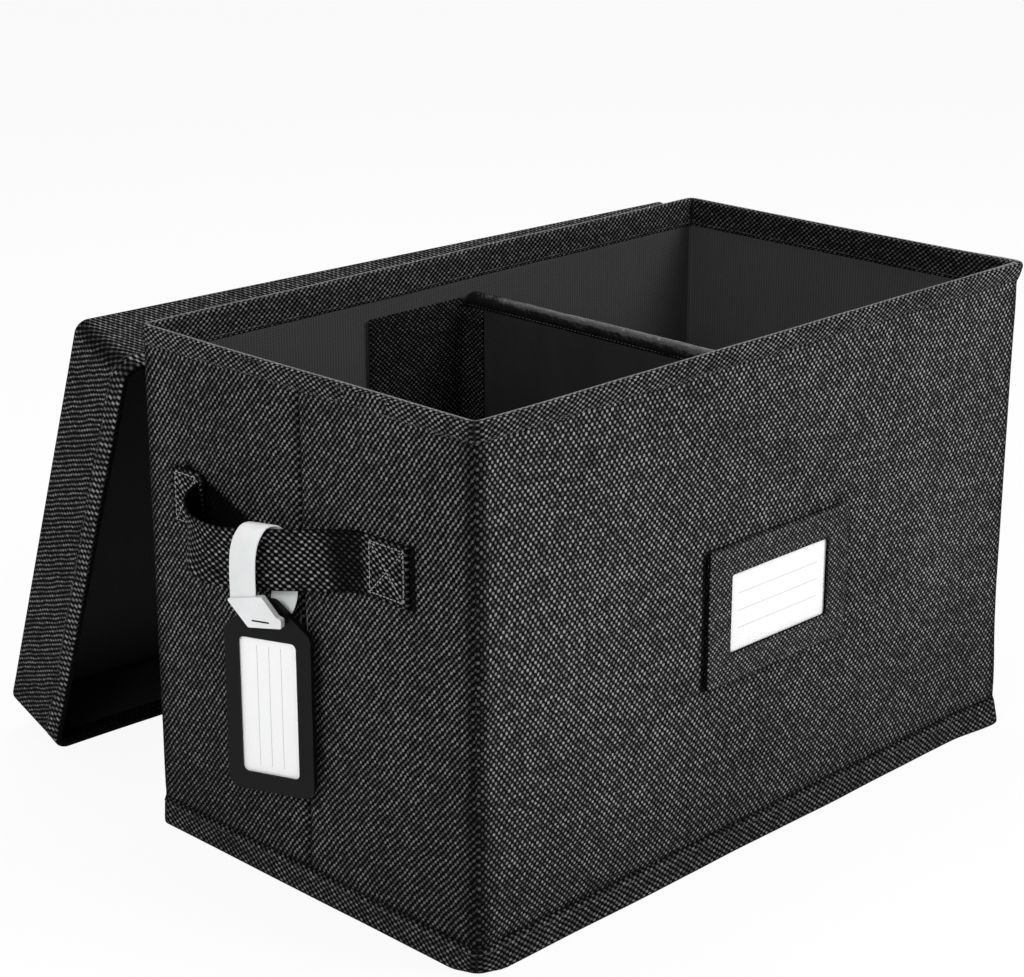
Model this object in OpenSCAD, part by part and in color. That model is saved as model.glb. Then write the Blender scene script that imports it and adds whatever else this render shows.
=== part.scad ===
// Fabric-covered carrying case with stiff walls: a lift-off lid leaning
// against its back wall, a loose divider, strap handles, a label pocket and
// a hanging tag. Sizes in millimetres.
// +X runs to the right end, -Y is the front, +Z is up. The origin is the
// centre of the foot, on the floor.

/* [Case] */
// Outside length of the case
body_l = 584; // [480:2:700]
// Outside depth of the case, front to back
body_w = 332; // [324:1:360]
// Outside height of the case
body_h = 380; // [340:1:420]
// Radius of the upright corners
corner_r = 5; // [4:0.5:8]
// Height of the stitched hem round the foot
hem_h = 20; // [12:1:30]
// Height of the woven facing turned inside the rim
facing_h = 22; // [14:1:30]
// Free width between the two half boards of an end wall
crease_gap = 6; // [3:0.5:10]

/* [Cloth and board] */
// Thickness of the woven cover
cloth_t = 1.2; // [0.8:0.1:1.6]
// Thickness of the wall boards
board_t = 2.4; // [1.5:0.1:3]
// Radius of the wall boards' lower corners
board_corner_r = 20; // [2:1:40]
// Thickness of the lining
lining_t = 0.6; // [0.3:0.1:1]
// Thickness of the loose base board
base_board_t = 3; // [2:0.5:4]

/* [Divider] */
// Distance of the divider to the right of the middle
divider_x = 20; // [-60:1:60]
// Distance of the divider's top edge below the rim
divider_drop = 30; // [24:1:60]
// Thickness of the padded divider
divider_t = 8; // [6:0.5:10]
// Length of each flap along the wall
flap_l = 100; // [60:1:120]
// Distance of the flaps' top edge below the divider's
flap_drop = 5; // [1:1:40]

/* [Label pocket] */
// Width of the pocket's woven frame
label_w = 156; // [140:1:180]
// Height of the pocket's woven frame
label_h = 104; // [90:1:120]
// Width of the window
label_window_w = 105; // [90:1:120]
// Height of the window
label_window_h = 58; // [50:1:70]
// Distance of the pocket's middle to the right of the case's middle
label_x = 7; // [-40:1:40]
// Height of the pocket's middle above the floor
label_z = 188; // [150:1:220]
// Width of the label card
label_card_w = 127; // [110:1:130]
// Height of the label card
label_card_h = 76; // [64:1:77]

/* [Handles] */
// Distance of the handles' middle below the rim
handle_drop = 123; // [110:1:130]
// Width of the strap
strap_w = 43; // [30:1:60]
// Thickness of the strap
strap_t = 2.4; // [1.6:0.1:4]

/* [Tag] */
// Width of the tag
tag_w = 65; // [56:1:80]
// Thickness of the tag
tag_t = 5; // [4:0.5:6]
// Distance of the tag's lower edge below the handle's middle
tag_drop = 172; // [166:1:196]
// Height of the tag from its lower edge to its shoulders
tag_shoulder = 118; // [100:1:130]
// Height of the tag from its lower edge to its tip
tag_tip = 141; // [130:1:150]
// Width of the tag's window
tag_window_w = 43; // [36:1:48]
// Height of the tag's window
tag_window_h = 99; // [80:1:102]
// Width of the plastic loop strap
loop_w = 19.5; // [12:0.5:21]
// Thickness of the plastic loop strap
loop_t = 1; // [0.8:0.1:1.4]

/* [Lid] */
// Clearance between the lid's rim and each end of the case
lid_end_play = 6.6; // [2:0.2:14]
// Clearance between the lid's rim and the case's front and back
lid_side_play = 10.6; // [2:0.2:16]
// Depth of the lid's skirt
lid_h = 66; // [50:1:100]
// Radius of the lid's upright corners
lid_r = 10; // [4:0.5:12]
// Angle between the leaning lid and the back wall
lid_lean = 20.8; // [12:0.1:30]
// Turn of the lid that takes its left end away from the back wall
lid_turn = 3; // [0:0.1:5]
// Distance of the lid's middle to the right of the case's middle
lid_x = 27; // [-40:1:60]
// Height of the facing turned inside the lid's rim
lid_facing_h = 12; // [8:1:24]

/* [Hidden] */
$fn = 48;

// clearances between pieces that part or slide
seat_gap = 0.3;
corner_gap = 4;
base_gap = cloth_t + 0.6;
lid_gap = 0.3;

// case, from the outside in
wall_t = cloth_t + board_t + lining_t;
in_l = body_l - 2 * wall_t;
in_w = body_w - 2 * wall_t;
floor_z = cloth_t + lining_t;
base_top = floor_z + base_board_t + 2 * lining_t;

// divider: passes inside the rim facing as it lifts out
divider_top = body_h - divider_drop;
flap_top = divider_top - flap_drop;
facing_y = in_w / 2 - cloth_t;
divider_y = facing_y - seat_gap;
divider_core_t = 3;
binding_t = 1;
binding_h = 12;
hook_t = 1;
flap_low = 30;
flap_leg = 22;
hook_w = 90;
hook_h = 30;
hook_z = [90, 250];

// label pocket, from the front cover outwards
pocket_d = 1.6;
card_play = 1;
pocket_h = label_card_h + 2 * card_play;
pocket_right = label_card_w / 2 + 2 * card_play;
film_t = 0.4;
card_t = 0.5;
card_back = 0.4;

// handle: [distance out from the end wall, along the wall, height over its
// middle]
handle_z = body_h - handle_drop;
strap_in = strap_t / 2;
strap_route = [
  [strap_in, 132, 8], [strap_in, 104, 7.8], [4.2, 99.5, 5.8],
  [11, 96.4, 3.9], [19, 93, 1.8], [26, 87.5, -1.6], [31, 79, -5.8],
  [33, 67.5, -8.8], [32, 53, -9.4], [29, 38, -8.3], [24.8, 22, -6.1],
  [19.6, 6, -3.9], [14, -10, -1.4], [9, -26, 1.3], [5, -42, 4.2],
  [2.4, -56, 6.6], [strap_in, -66, 7.4], [strap_in, -106, 8]
];

// tag: hangs on the strap, turned with it towards the front
tag_out = 23;
tag_x = -body_l / 2 - tag_out;
tag_y = 8.5;
tag_turn = 22;
tag_low = handle_z - tag_drop;
tag_slot_drop = 15;
tag_slot_z = tag_low + tag_tip - tag_slot_drop;
tag_slot_w = loop_w + 6.5;
tag_slot_h = 6;
tag_bezel = 1.2;
tag_film_t = 0.6;
tag_window_rise = 62.6;
tag_window_z = tag_low + tag_window_rise;
tag_card_w = tag_window_w + 5;
tag_card_h = tag_window_h + 6;
buckle_back = -5.5;
buckle_t = 5;
// buckle: a leaning plate, [across the tag, height over the strap in its
// slot], with a slot in its top edge and a slit in its face for the strap
buckle_outline = [
  [9.4, -4.9], [25.2, 13.4], [-1.2, 18], [-11.9, 4.8], [-15.5, 3.9],
  [-15.3, -2.5]
];
buckle_round = [2, 1.2, 2, 3, 2, 1];
buckle_socket = 12.1;
buckle_slit_w = 13;
buckle_slit_h = 1.2;
strap_gap = 0.2;
// the slot's top edge hangs on the loop strap
hang_gap = 0.7;
hang_z = tag_slot_z + tag_slot_h / 2 - hang_gap - loop_t / 2;
loop_rise = 9;
arc_rise = 11.6;
arc_z = handle_z + loop_rise;
function leg(f) = hang_z + f * (arc_z - hang_z);
loop_out = -8;
loop_side = 13.7;
// loop strap: [out of the tag's plane, across, height], from the buckle's
// top over the handle strap, down behind it and through the slot
loop_route = [
  [loop_out, loop_side, hang_z + buckle_socket + strap_gap],
  [loop_out, loop_side, leg(0.41)], [-7.8, loop_side, leg(0.64)],
  [-7.4, 13.2, leg(0.84)], [-6.4, 11.8, arc_z],
  [-4.6, 9.8, arc_z + 0.5 * arc_rise], [-2.4, 7.4, arc_z + 0.86 * arc_rise],
  [0.6, 4.4, arc_z + arc_rise], [4, 1, arc_z + 0.92 * arc_rise],
  [7.2, -2, arc_z + 0.46 * arc_rise], [9.4, -4.2, leg(0.96)],
  [10.8, -5.8, leg(0.79)], [11.4, -7, leg(0.57)], [11.2, -7.6, leg(0.36)],
  [10.2, -7, leg(0.19)], [7.7, -5, hang_z + 3], [4.2, -2, hang_z],
  [-2, 0, hang_z], [buckle_back, 1, hang_z]
];

// lid
lid_wall = cloth_t + board_t + lining_t;
lid_l = body_l + 2 * (lid_wall + cloth_t + lid_end_play);
lid_w = body_w + 2 * (lid_wall + cloth_t + lid_side_play);
// its upper rim edge leans on the case's right corner at the back
lid_y = (lid_gap + corner_r + sin(lid_turn) * (body_l / 2 - corner_r - lid_x)
  + cos(lid_turn) * (body_w / 2 - corner_r) + lid_w * sin(lid_lean)) / cos(lid_turn);

// ---- shared forms ----

module rounded_plate(l, w, r) {
  square([l - 2 * r, w], center = true);
  square([l, w - 2 * r], center = true);
  for (x = [-1, 1], y = [-1, 1])
    translate([x * (l / 2 - r), y * (w / 2 - r)]) circle(r);
}

// wall of thickness t inside a rounded outline
module wall_outline(l, w, r, t) {
  difference() {
    rounded_plate(l, w, r);
    rounded_plate(l - 2 * t, w - 2 * t, max(r - t, 0.5));
  }
}

module box(low, high) {
  translate(low) cube(high - low);
}

function unit(v) = v / norm(v);

// outline with each corner rounded to its own radius
function rounded(p, r, n = 8) = [
  for (i = [0 : len(p) - 1])
    let (
      a = unit(p[(i + len(p) - 1) % len(p)] - p[i]),
      b = unit(p[(i + 1) % len(p)] - p[i]),
      half = acos(a * b) / 2,
      c = p[i] + unit(a + b) * r[i] / sin(half),
      s = p[i] + a * r[i] / tan(half) - c,
      e = p[i] + b * r[i] / tan(half) - c
    )
    for (k = [0 : n]) c + r[i] * unit(s * (1 - k / n) + e * k / n)
];

// plate that stands across X, from x0 to x1, with its outline in Y and Z
module upright_plate(x0, x1) {
  translate([x0, 0, 0]) rotate([90, 0, 90]) linear_extrude(x1 - x0) children();
}

// flat strap along a route; across is the direction of its width
module ribbon(route, across, width, thick) {
  last = len(route) - 1;
  points = [
    for (i = [0 : last])
      let (
        t = route[min(i + 1, last)] - route[max(i - 1, 0)],
        n = unit(cross(t, across)) * thick / 2,
        w = across * width / 2
      )
      for (q = [w - n, w + n, -w + n, -w - n]) route[i] + q
  ];
  sides = [
    for (i = [0 : last - 1], k = [0 : 3])
      let (j = 4 * i, m = (k + 1) % 4)
      for (f = [[j + k, j + 4 + k, j + 4 + m], [j + k, j + 4 + m, j + m]]) f
  ];
  ends = [
    [0, 1, 2], [0, 2, 3],
    [4 * last + 2, 4 * last + 1, 4 * last],
    [4 * last + 3, 4 * last + 2, 4 * last]
  ];
  polyhedron(points, concat(sides, ends), convexity = 6);
}

// ---- case covers ----

module case_skin() {
  linear_extrude(body_h) wall_outline(body_l, body_w, corner_r, cloth_t);
}

module front_cover() {
  color("#202020") intersection() {
    case_skin();
    box([-body_l, -body_w, -1], [body_l, -body_w / 2 + corner_r, body_h + 1]);
  }
}

module back_cover() {
  color("#202020") intersection() {
    case_skin();
    box([-body_l, body_w / 2 - corner_r, -1], [body_l, body_w, body_h + 1]);
  }
}

// end cover with the shallow upright crease between the half boards
module end_cover() {
  y = body_w / 2 - corner_r;
  difference() {
    box([-body_l / 2, -y, 0], [-body_l / 2 + cloth_t, y, body_h]);
    translate([-body_l / 2, 0, -1]) rotate([0, 0, 45])
      cube([1.2, 1.2, 2 * body_h + 4], center = true);
  }
}

module left_end_cover() {
  color("#262626") end_cover();
}

module right_end_cover() {
  color("#262626") rotate([0, 0, 180]) end_cover();
}

module bottom_cover() {
  color("#1c1c1c") linear_extrude(cloth_t)
    rounded_plate(body_l - 2 * cloth_t, body_w - 2 * cloth_t, corner_r - cloth_t);
}

module bottom_hem() {
  color("#303030") linear_extrude(hem_h)
    wall_outline(body_l + 2 * cloth_t, body_w + 2 * cloth_t,
                 corner_r + cloth_t, cloth_t);
}

// woven band over the boards' top edges and down inside the rim
module rim_facing() {
  color("#303030") {
    translate([0, 0, body_h - cloth_t]) linear_extrude(cloth_t)
      wall_outline(body_l - 2 * cloth_t, body_w - 2 * cloth_t,
                   corner_r - cloth_t, board_t + lining_t + cloth_t);
    translate([0, 0, body_h - facing_h]) linear_extrude(facing_h)
      wall_outline(in_l, in_w, 1.5, cloth_t);
  }
}

module wall_lining() {
  l = in_l + 2 * lining_t;
  w = in_w + 2 * lining_t;
  color("#404040") {
    translate([0, 0, cloth_t]) linear_extrude(body_h - 2 * cloth_t)
      wall_outline(l, w, 1.5, lining_t);
    translate([0, 0, cloth_t]) linear_extrude(lining_t) rounded_plate(l, w, 1.5);
  }
}

// ---- case boards ----

// outline of an upright board between a0 and a1, with the radii of its lower
// corners
module board_outline(a0, a1, r0, r1) {
  top = body_h - cloth_t;
  polygon(rounded([[a0, cloth_t], [a1, cloth_t], [a1, top], [a0, top]],
                  [r0, r1, 1, 1]));
}

module long_board() {
  x = body_l / 2 - cloth_t - corner_gap;
  y = -body_w / 2 + cloth_t;
  rotate([0, 0, -90]) upright_plate(-y - board_t, -y)
    board_outline(-x, x, board_corner_r, board_corner_r);
}

module half_end_board() {
  x = -body_l / 2 + cloth_t;
  upright_plate(x, x + board_t)
    board_outline(crease_gap / 2, body_w / 2 - cloth_t - corner_gap, 1,
                  board_corner_r);
}

module front_board() {
  color("#8a8378") long_board();
}

module back_board() {
  color("#8a8378") rotate([0, 0, 180]) long_board();
}

module left_end_board_back() {
  color("#8a8378") half_end_board();
}

module left_end_board_front() {
  color("#8a8378") mirror([0, 1, 0]) half_end_board();
}

module right_end_board_back() {
  color("#8a8378") mirror([1, 0, 0]) half_end_board();
}

module right_end_board_front() {
  color("#8a8378") rotate([0, 0, 180]) half_end_board();
}

// ---- base board ----

module base_core(grow) {
  l = in_l - 2 * base_gap - 2 * lining_t + 2 * grow;
  w = in_w - 2 * base_gap - 2 * lining_t + 2 * grow;
  translate([0, 0, floor_z + lining_t - grow])
    linear_extrude(base_board_t + 2 * grow) rounded_plate(l, w, 2);
}

module base_board() {
  color("#8a8378") base_core(0);
}

module base_board_cover() {
  color("#383838") difference() {
    base_core(lining_t);
    base_core(0);
  }
}

// ---- divider ----

module divider_board() {
  x = divider_core_t / 2;
  color("#8a8378") box([divider_x - x, -divider_y + 2, base_top + 1],
                       [divider_x + x, divider_y - 2, divider_top - 5]);
}

module divider_pad() {
  x = divider_t / 2;
  box([divider_x - x, -divider_y, base_top],
      [divider_x + x, divider_y, divider_top - 3]);
}

module divider_cover() {
  color("#2a2a2a") difference() {
    divider_pad();
    divider_board();
  }
}

// folded strip over the divider's top edge
module divider_binding() {
  r = divider_t / 2 + binding_t;
  color("#101010") difference() {
    union() {
      translate([divider_x, 0, divider_top - r]) rotate([90, 0, 0])
        cylinder(h = 2 * divider_y, r = r, center = true);
      box([divider_x - r, -divider_y, divider_top - binding_h],
          [divider_x + r, divider_y, divider_top - r]);
    }
    divider_pad();
  }
}

// flap: along the wall, with a leg sewn to the divider's face
module divider_flap() {
  x = divider_x - divider_t / 2;
  y = divider_y - hook_t;
  top = divider_top - binding_h - 0.2;
  box([x - cloth_t, y - flap_leg, flap_low], [x, y, top]);
  box([x - flap_l, y - cloth_t, flap_low], [x - cloth_t, y, flap_top]);
}

module divider_back_flap() {
  color("#262626") divider_flap();
}

module divider_front_flap() {
  color("#262626") mirror([0, 1, 0]) divider_flap();
}

module hold_strips(y0, y1) {
  x = divider_x - divider_t / 2 - 5;
  for (z = hook_z, s = [0, 1])
    mirror([0, s, 0]) box([x - hook_w, y0, z], [x, y1, z + hook_h]);
}

module divider_hook_strips() {
  color("#151515") hold_strips(divider_y - hook_t, divider_y);
}

module wall_loop_strips() {
  color("#151515") hold_strips(facing_y, in_w / 2);
}

// ---- label pocket ----

// frame of woven cloth, sewn on three sides and open to the left
module label_frame() {
  y = -body_w / 2;
  color("#2c2c2c") translate([label_x, y, label_z]) difference() {
    rotate([90, 0, 0]) linear_extrude(pocket_d + cloth_t) difference() {
      rounded_plate(label_w, label_h, 3);
      rounded_plate(label_window_w, label_window_h, 4);
    }
    box([-label_w, -pocket_d, -pocket_h / 2], [pocket_right, 1, pocket_h / 2]);
  }
}

module label_window() {
  color("#ffffff40") translate([label_x, -body_w / 2 - pocket_d, label_z])
    box([-pocket_right, 0, -pocket_h / 2], [pocket_right, film_t, pocket_h / 2]);
}

module label_card() {
  y = -card_back - card_t;
  color("#f4f4f4") translate([label_x, -body_w / 2, label_z])
    box([-label_card_w / 2, y, -label_card_h / 2],
        [label_card_w / 2, y + card_t, label_card_h / 2]);
}

// ---- handles ----

module strap_handle() {
  ribbon([for (p = strap_route) [-body_l / 2 - p[0], p[1], handle_z + p[2]]],
         [0, 0, 1], strap_w, strap_t);
}

module left_handle() {
  color("#262626") strap_handle();
}

module right_handle() {
  color("#262626") rotate([0, 0, 180]) strap_handle();
}

// ---- tag ----

module tag_place() {
  translate([tag_x, tag_y, 0]) rotate([0, 0, tag_turn]) children();
}

module tag_outline() {
  w = tag_w / 2;
  polygon(rounded(
    [[-w, tag_low], [w, tag_low], [w, tag_low + tag_shoulder],
     [6, tag_low + tag_tip], [-6, tag_low + tag_tip],
     [-w, tag_low + tag_shoulder]],
    [9, 9, 7, 7, 7, 7]));
}

// pocket for the card, open on the edge away from the wall
module tag_frame() {
  u = tag_t / 2;
  pocket = -u + tag_bezel;
  color("#333333") tag_place() difference() {
    upright_plate(-u, u) tag_outline();
    upright_plate(-u - 1, u + 1) translate([0, tag_slot_z])
      rounded_plate(tag_slot_w, tag_slot_h, 2);
    upright_plate(-u - 1, pocket + 0.1) translate([0, tag_window_z])
      rounded_plate(tag_window_w, tag_window_h, 4);
    box([pocket, -tag_card_w / 2 - 1, tag_window_z - tag_card_h / 2 - 1],
        [pocket + 1.7, tag_w, tag_window_z + tag_card_h / 2 + 1]);
  }
}

module tag_window() {
  u = -tag_t / 2 + tag_bezel;
  w = tag_card_w / 2 + 1;
  h = tag_card_h / 2 + 1;
  color("#ffffff40") tag_place()
    box([u, -w, tag_window_z - h], [u + tag_film_t, w, tag_window_z + h]);
}

module tag_card() {
  u = -tag_t / 2 + tag_bezel + tag_film_t + 0.3;
  w = tag_card_w / 2;
  h = tag_card_h / 2;
  color("#f4f4f4") tag_place()
    box([u, -w, tag_window_z - h], [u + card_t, w, tag_window_z + h]);
}

module tag_buckle() {
  face = buckle_back - buckle_t;
  color("#d8d8d8") tag_place() difference() {
    upright_plate(face, buckle_back)
      translate([0, hang_z]) polygon(rounded(buckle_outline, buckle_round, 4));
    box([loop_out - loop_t / 2 - strap_gap, loop_side - loop_w / 2 - strap_gap,
         hang_z + buckle_socket],
        [loop_out + loop_t / 2 + strap_gap, loop_side + loop_w / 2 + strap_gap,
         hang_z + 30]);
    upright_plate(face - 1, buckle_back + 1) translate([0, hang_z + 0.5])
      rounded_plate(buckle_slit_w, buckle_slit_h, 0.4);
  }
}

module tag_loop_strap() {
  color("#dcdcdc") tag_place() ribbon(loop_route, [0, 1, 0], loop_w, loop_t);
}

// ---- lid ----

// lid's own axes: X along it, Y up the leaning panel, Z from panel to rim
module lid_place() {
  translate([lid_x, lid_y, 0]) rotate([0, 0, -lid_turn])
    translate([0, lid_h * cos(lid_lean), lid_h * sin(lid_lean)])
      rotate([90 + lid_lean, 0, 0]) translate([0, lid_w / 2, 0]) children();
}

module lid_skin() {
  linear_extrude(lid_h) wall_outline(lid_l, lid_w, lid_r, cloth_t);
}

module lid_top_cover() {
  color("#202020") lid_place() linear_extrude(cloth_t)
    rounded_plate(lid_l - 2 * cloth_t, lid_w - 2 * cloth_t, lid_r - cloth_t);
}

module lid_long_skirt() {
  intersection() {
    lid_skin();
    box([-lid_l, lid_w / 2 - lid_r, -1], [lid_l, lid_w, lid_h + 1]);
  }
}

module lid_end_skirt() {
  y = lid_w / 2 - lid_r;
  box([-lid_l / 2, -y, 0], [-lid_l / 2 + cloth_t, y, lid_h]);
}

module lid_front_skirt() {
  color("#262626") lid_place() lid_long_skirt();
}

module lid_back_skirt() {
  color("#262626") lid_place() mirror([0, 1, 0]) lid_long_skirt();
}

module lid_left_skirt() {
  color("#262626") lid_place() lid_end_skirt();
}

module lid_right_skirt() {
  color("#262626") lid_place() mirror([1, 0, 0]) lid_end_skirt();
}

module lid_top_board() {
  l = lid_l - 2 * (cloth_t + board_t + 0.5);
  w = lid_w - 2 * (cloth_t + board_t + 0.5);
  color("#8a8378") lid_place()
    box([-l / 2, -w / 2, cloth_t], [l / 2, w / 2, cloth_t + board_t]);
}

module lid_long_board() {
  x = lid_l / 2 - max(lid_r, cloth_t + corner_gap);
  y = lid_w / 2 - cloth_t;
  box([-x, y - board_t, cloth_t], [x, y, lid_h - cloth_t]);
}

module lid_end_board() {
  x = -lid_l / 2 + cloth_t;
  y = lid_w / 2 - max(lid_r, cloth_t + corner_gap);
  box([x, -y, cloth_t], [x + board_t, y, lid_h - cloth_t]);
}

module lid_front_board() {
  color("#8a8378") lid_place() lid_long_board();
}

module lid_back_board() {
  color("#8a8378") lid_place() mirror([0, 1, 0]) lid_long_board();
}

module lid_left_board() {
  color("#8a8378") lid_place() lid_end_board();
}

module lid_right_board() {
  color("#8a8378") lid_place() mirror([1, 0, 0]) lid_end_board();
}

module lid_lining() {
  l = lid_l - 2 * (cloth_t + board_t);
  w = lid_w - 2 * (cloth_t + board_t);
  z = cloth_t + board_t;
  color("#333333") lid_place() translate([0, 0, z]) {
    linear_extrude(lining_t) rounded_plate(l, w, 4);
    linear_extrude(lid_h - cloth_t - z) wall_outline(l, w, 4, lining_t);
  }
}

module lid_rim_facing() {
  l = lid_l - 2 * lid_wall;
  w = lid_w - 2 * lid_wall;
  color("#303030") lid_place() {
    translate([0, 0, lid_h - cloth_t]) linear_extrude(cloth_t)
      wall_outline(lid_l - 2 * cloth_t, lid_w - 2 * cloth_t,
                   lid_r - cloth_t, board_t + lining_t + cloth_t);
    translate([0, 0, lid_h - lid_facing_h]) linear_extrude(lid_facing_h)
      wall_outline(l, w, 3.4, cloth_t);
  }
}

front_cover();
back_cover();
left_end_cover();
right_end_cover();
bottom_cover();
bottom_hem();
rim_facing();
wall_lining();
front_board();
back_board();
left_end_board_front();
left_end_board_back();
right_end_board_front();
right_end_board_back();
wall_loop_strips();
left_handle();
right_handle();
label_frame();
label_window();
label_card();
base_board();
base_board_cover();
divider_board();
divider_cover();
divider_binding();
divider_back_flap();
divider_front_flap();
divider_hook_strips();
lid_top_cover();
lid_front_skirt();
lid_back_skirt();
lid_left_skirt();
lid_right_skirt();
lid_top_board();
lid_front_board();
lid_back_board();
lid_left_board();
lid_right_board();
lid_lining();
lid_rim_facing();
tag_loop_strap();
tag_buckle();
tag_frame();
tag_window();
tag_card();
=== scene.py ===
import math

import bmesh
import bpy
import numpy as np
from mathutils import Matrix, Vector, noise


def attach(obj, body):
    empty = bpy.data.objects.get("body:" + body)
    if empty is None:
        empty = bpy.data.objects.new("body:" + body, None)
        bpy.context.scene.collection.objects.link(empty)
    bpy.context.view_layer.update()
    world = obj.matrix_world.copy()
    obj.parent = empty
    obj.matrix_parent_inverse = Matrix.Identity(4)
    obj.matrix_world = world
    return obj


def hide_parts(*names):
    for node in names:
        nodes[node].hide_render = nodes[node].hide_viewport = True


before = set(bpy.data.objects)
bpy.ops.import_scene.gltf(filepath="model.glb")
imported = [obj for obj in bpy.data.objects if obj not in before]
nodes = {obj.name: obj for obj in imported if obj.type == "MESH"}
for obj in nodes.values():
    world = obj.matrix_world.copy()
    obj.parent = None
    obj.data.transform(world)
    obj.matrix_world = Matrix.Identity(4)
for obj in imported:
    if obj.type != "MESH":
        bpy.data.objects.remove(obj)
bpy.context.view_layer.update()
scene = bpy.context.scene
mm = 0.001

# ---------------------------------------------------------------- camera

FRAME_WIDTH, FOCAL_PIXELS, SENSOR = 1024, 2494.0, 36.0
az, el = math.radians(-45.347), math.radians(18.802)
at = Vector((-1.298875, -1.192007, 0.828798))
back = Vector((math.sin(az) * math.cos(el), -math.cos(az) * math.cos(el), math.sin(el)))
right = Vector((0, 0, 1)).cross(back).normalized()
up = back.cross(right)
cam_data = bpy.data.cameras.new("camera")
cam_data.sensor_fit = "HORIZONTAL"
cam_data.sensor_width = SENSOR
cam_data.lens = FOCAL_PIXELS / FRAME_WIDTH * SENSOR
cam_data.clip_start = 0.05
cam_data.clip_end = 30
camera = bpy.data.objects.new("camera", cam_data)
scene.collection.objects.link(camera)
camera.matrix_world = Matrix((
    (right.x, up.x, back.x, at.x),
    (right.y, up.y, back.y, at.y),
    (right.z, up.z, back.z, at.z),
    (0, 0, 0, 1)))
scene.camera = camera
scene.view_settings.view_transform = "Standard"

# ---------------------------------------------------------------- node helpers


class Graph:
    """Small helper for building node materials."""

    def __init__(self, name):
        self.mat = bpy.data.materials.new(name)
        self.mat.use_nodes = True
        self.tree = self.mat.node_tree
        self.bsdf = next(n for n in self.tree.nodes if n.type == "BSDF_PRINCIPLED")

    def node(self, kind, **props):
        n = self.tree.nodes.new(kind)
        for k, v in props.items():
            setattr(n, k, v)
        return n

    def put(self, socket, value):
        if hasattr(value, "is_output"):
            self.tree.links.new(value, socket)
        elif value is not None:
            socket.default_value = value

    def math(self, op, a, b=None, c=None, clamp=False):
        n = self.node("ShaderNodeMath", operation=op, use_clamp=clamp)
        for s, v in zip(n.inputs, (a, b, c)):
            self.put(s, v)
        return n.outputs[0]

    def mix(self, f, a, b):
        n = self.node("ShaderNodeMix", data_type="FLOAT")
        for s, v in zip((n.inputs[0], n.inputs[2], n.inputs[3]), (f, a, b)):
            self.put(s, v)
        return n.outputs[0]

    def colour(self, f, a, b):
        n = self.node("ShaderNodeMix", data_type="RGBA")
        for s, v in zip((n.inputs[0], n.inputs[6], n.inputs[7]), (f, a, b)):
            self.put(s, v)
        return n.outputs[2]

    def noise(self, vector, scale, detail=2.0, rough=0.5):
        n = self.node("ShaderNodeTexNoise")
        self.put(n.inputs["Vector"], vector)
        n.inputs["Scale"].default_value = scale
        n.inputs["Detail"].default_value = detail
        n.inputs["Roughness"].default_value = rough
        return n.outputs[0]

    def bump(self, height, strength, distance, normal=None):
        n = self.node("ShaderNodeBump")
        n.inputs["Strength"].default_value = strength
        n.inputs["Distance"].default_value = distance
        self.put(n.inputs["Height"], height)
        if normal is not None:
            self.put(n.inputs["Normal"], normal)
        return n.outputs[0]

    def times(self, *values):
        """Product of two or more values."""
        out = values[0]
        for value in values[1:]:
            out = self.math("MULTIPLY", out, value)
        return out

    def object_coords(self):
        return self.node("ShaderNodeTexCoord").outputs["Object"]

    def uv_coords(self):
        """The place on the cloth in metres: as a vector, and its two axes."""
        uv = self.node("ShaderNodeUVMap").outputs[0]
        sep = self.node("ShaderNodeSeparateXYZ")
        self.put(sep.inputs[0], uv)
        return uv, sep.outputs[0], sep.outputs[1]

    def finish(self, colour=None, rough=None, normal=None, **const):
        if colour is not None:
            self.put(self.bsdf.inputs["Base Color"], colour)
        if rough is not None:
            self.put(self.bsdf.inputs["Roughness"], rough)
        if normal is not None:
            self.put(self.bsdf.inputs["Normal"], normal)
        for k, v in const.items():
            self.bsdf.inputs[k.replace("_", " ")].default_value = v
        return self.mat


def grey(v):
    return (v, v, v * 1.005, 1.0)


# the float tone is partly the yarn's own grey and partly a painted highlight on the floats' crowns
DARK, LIGHT, SHINE = 0.0012, 0.3, 0.02  # gap and float tones of the weave, and its gloss
STRAY = 1.1  # how far the threads stray from their rows, in threads


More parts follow.
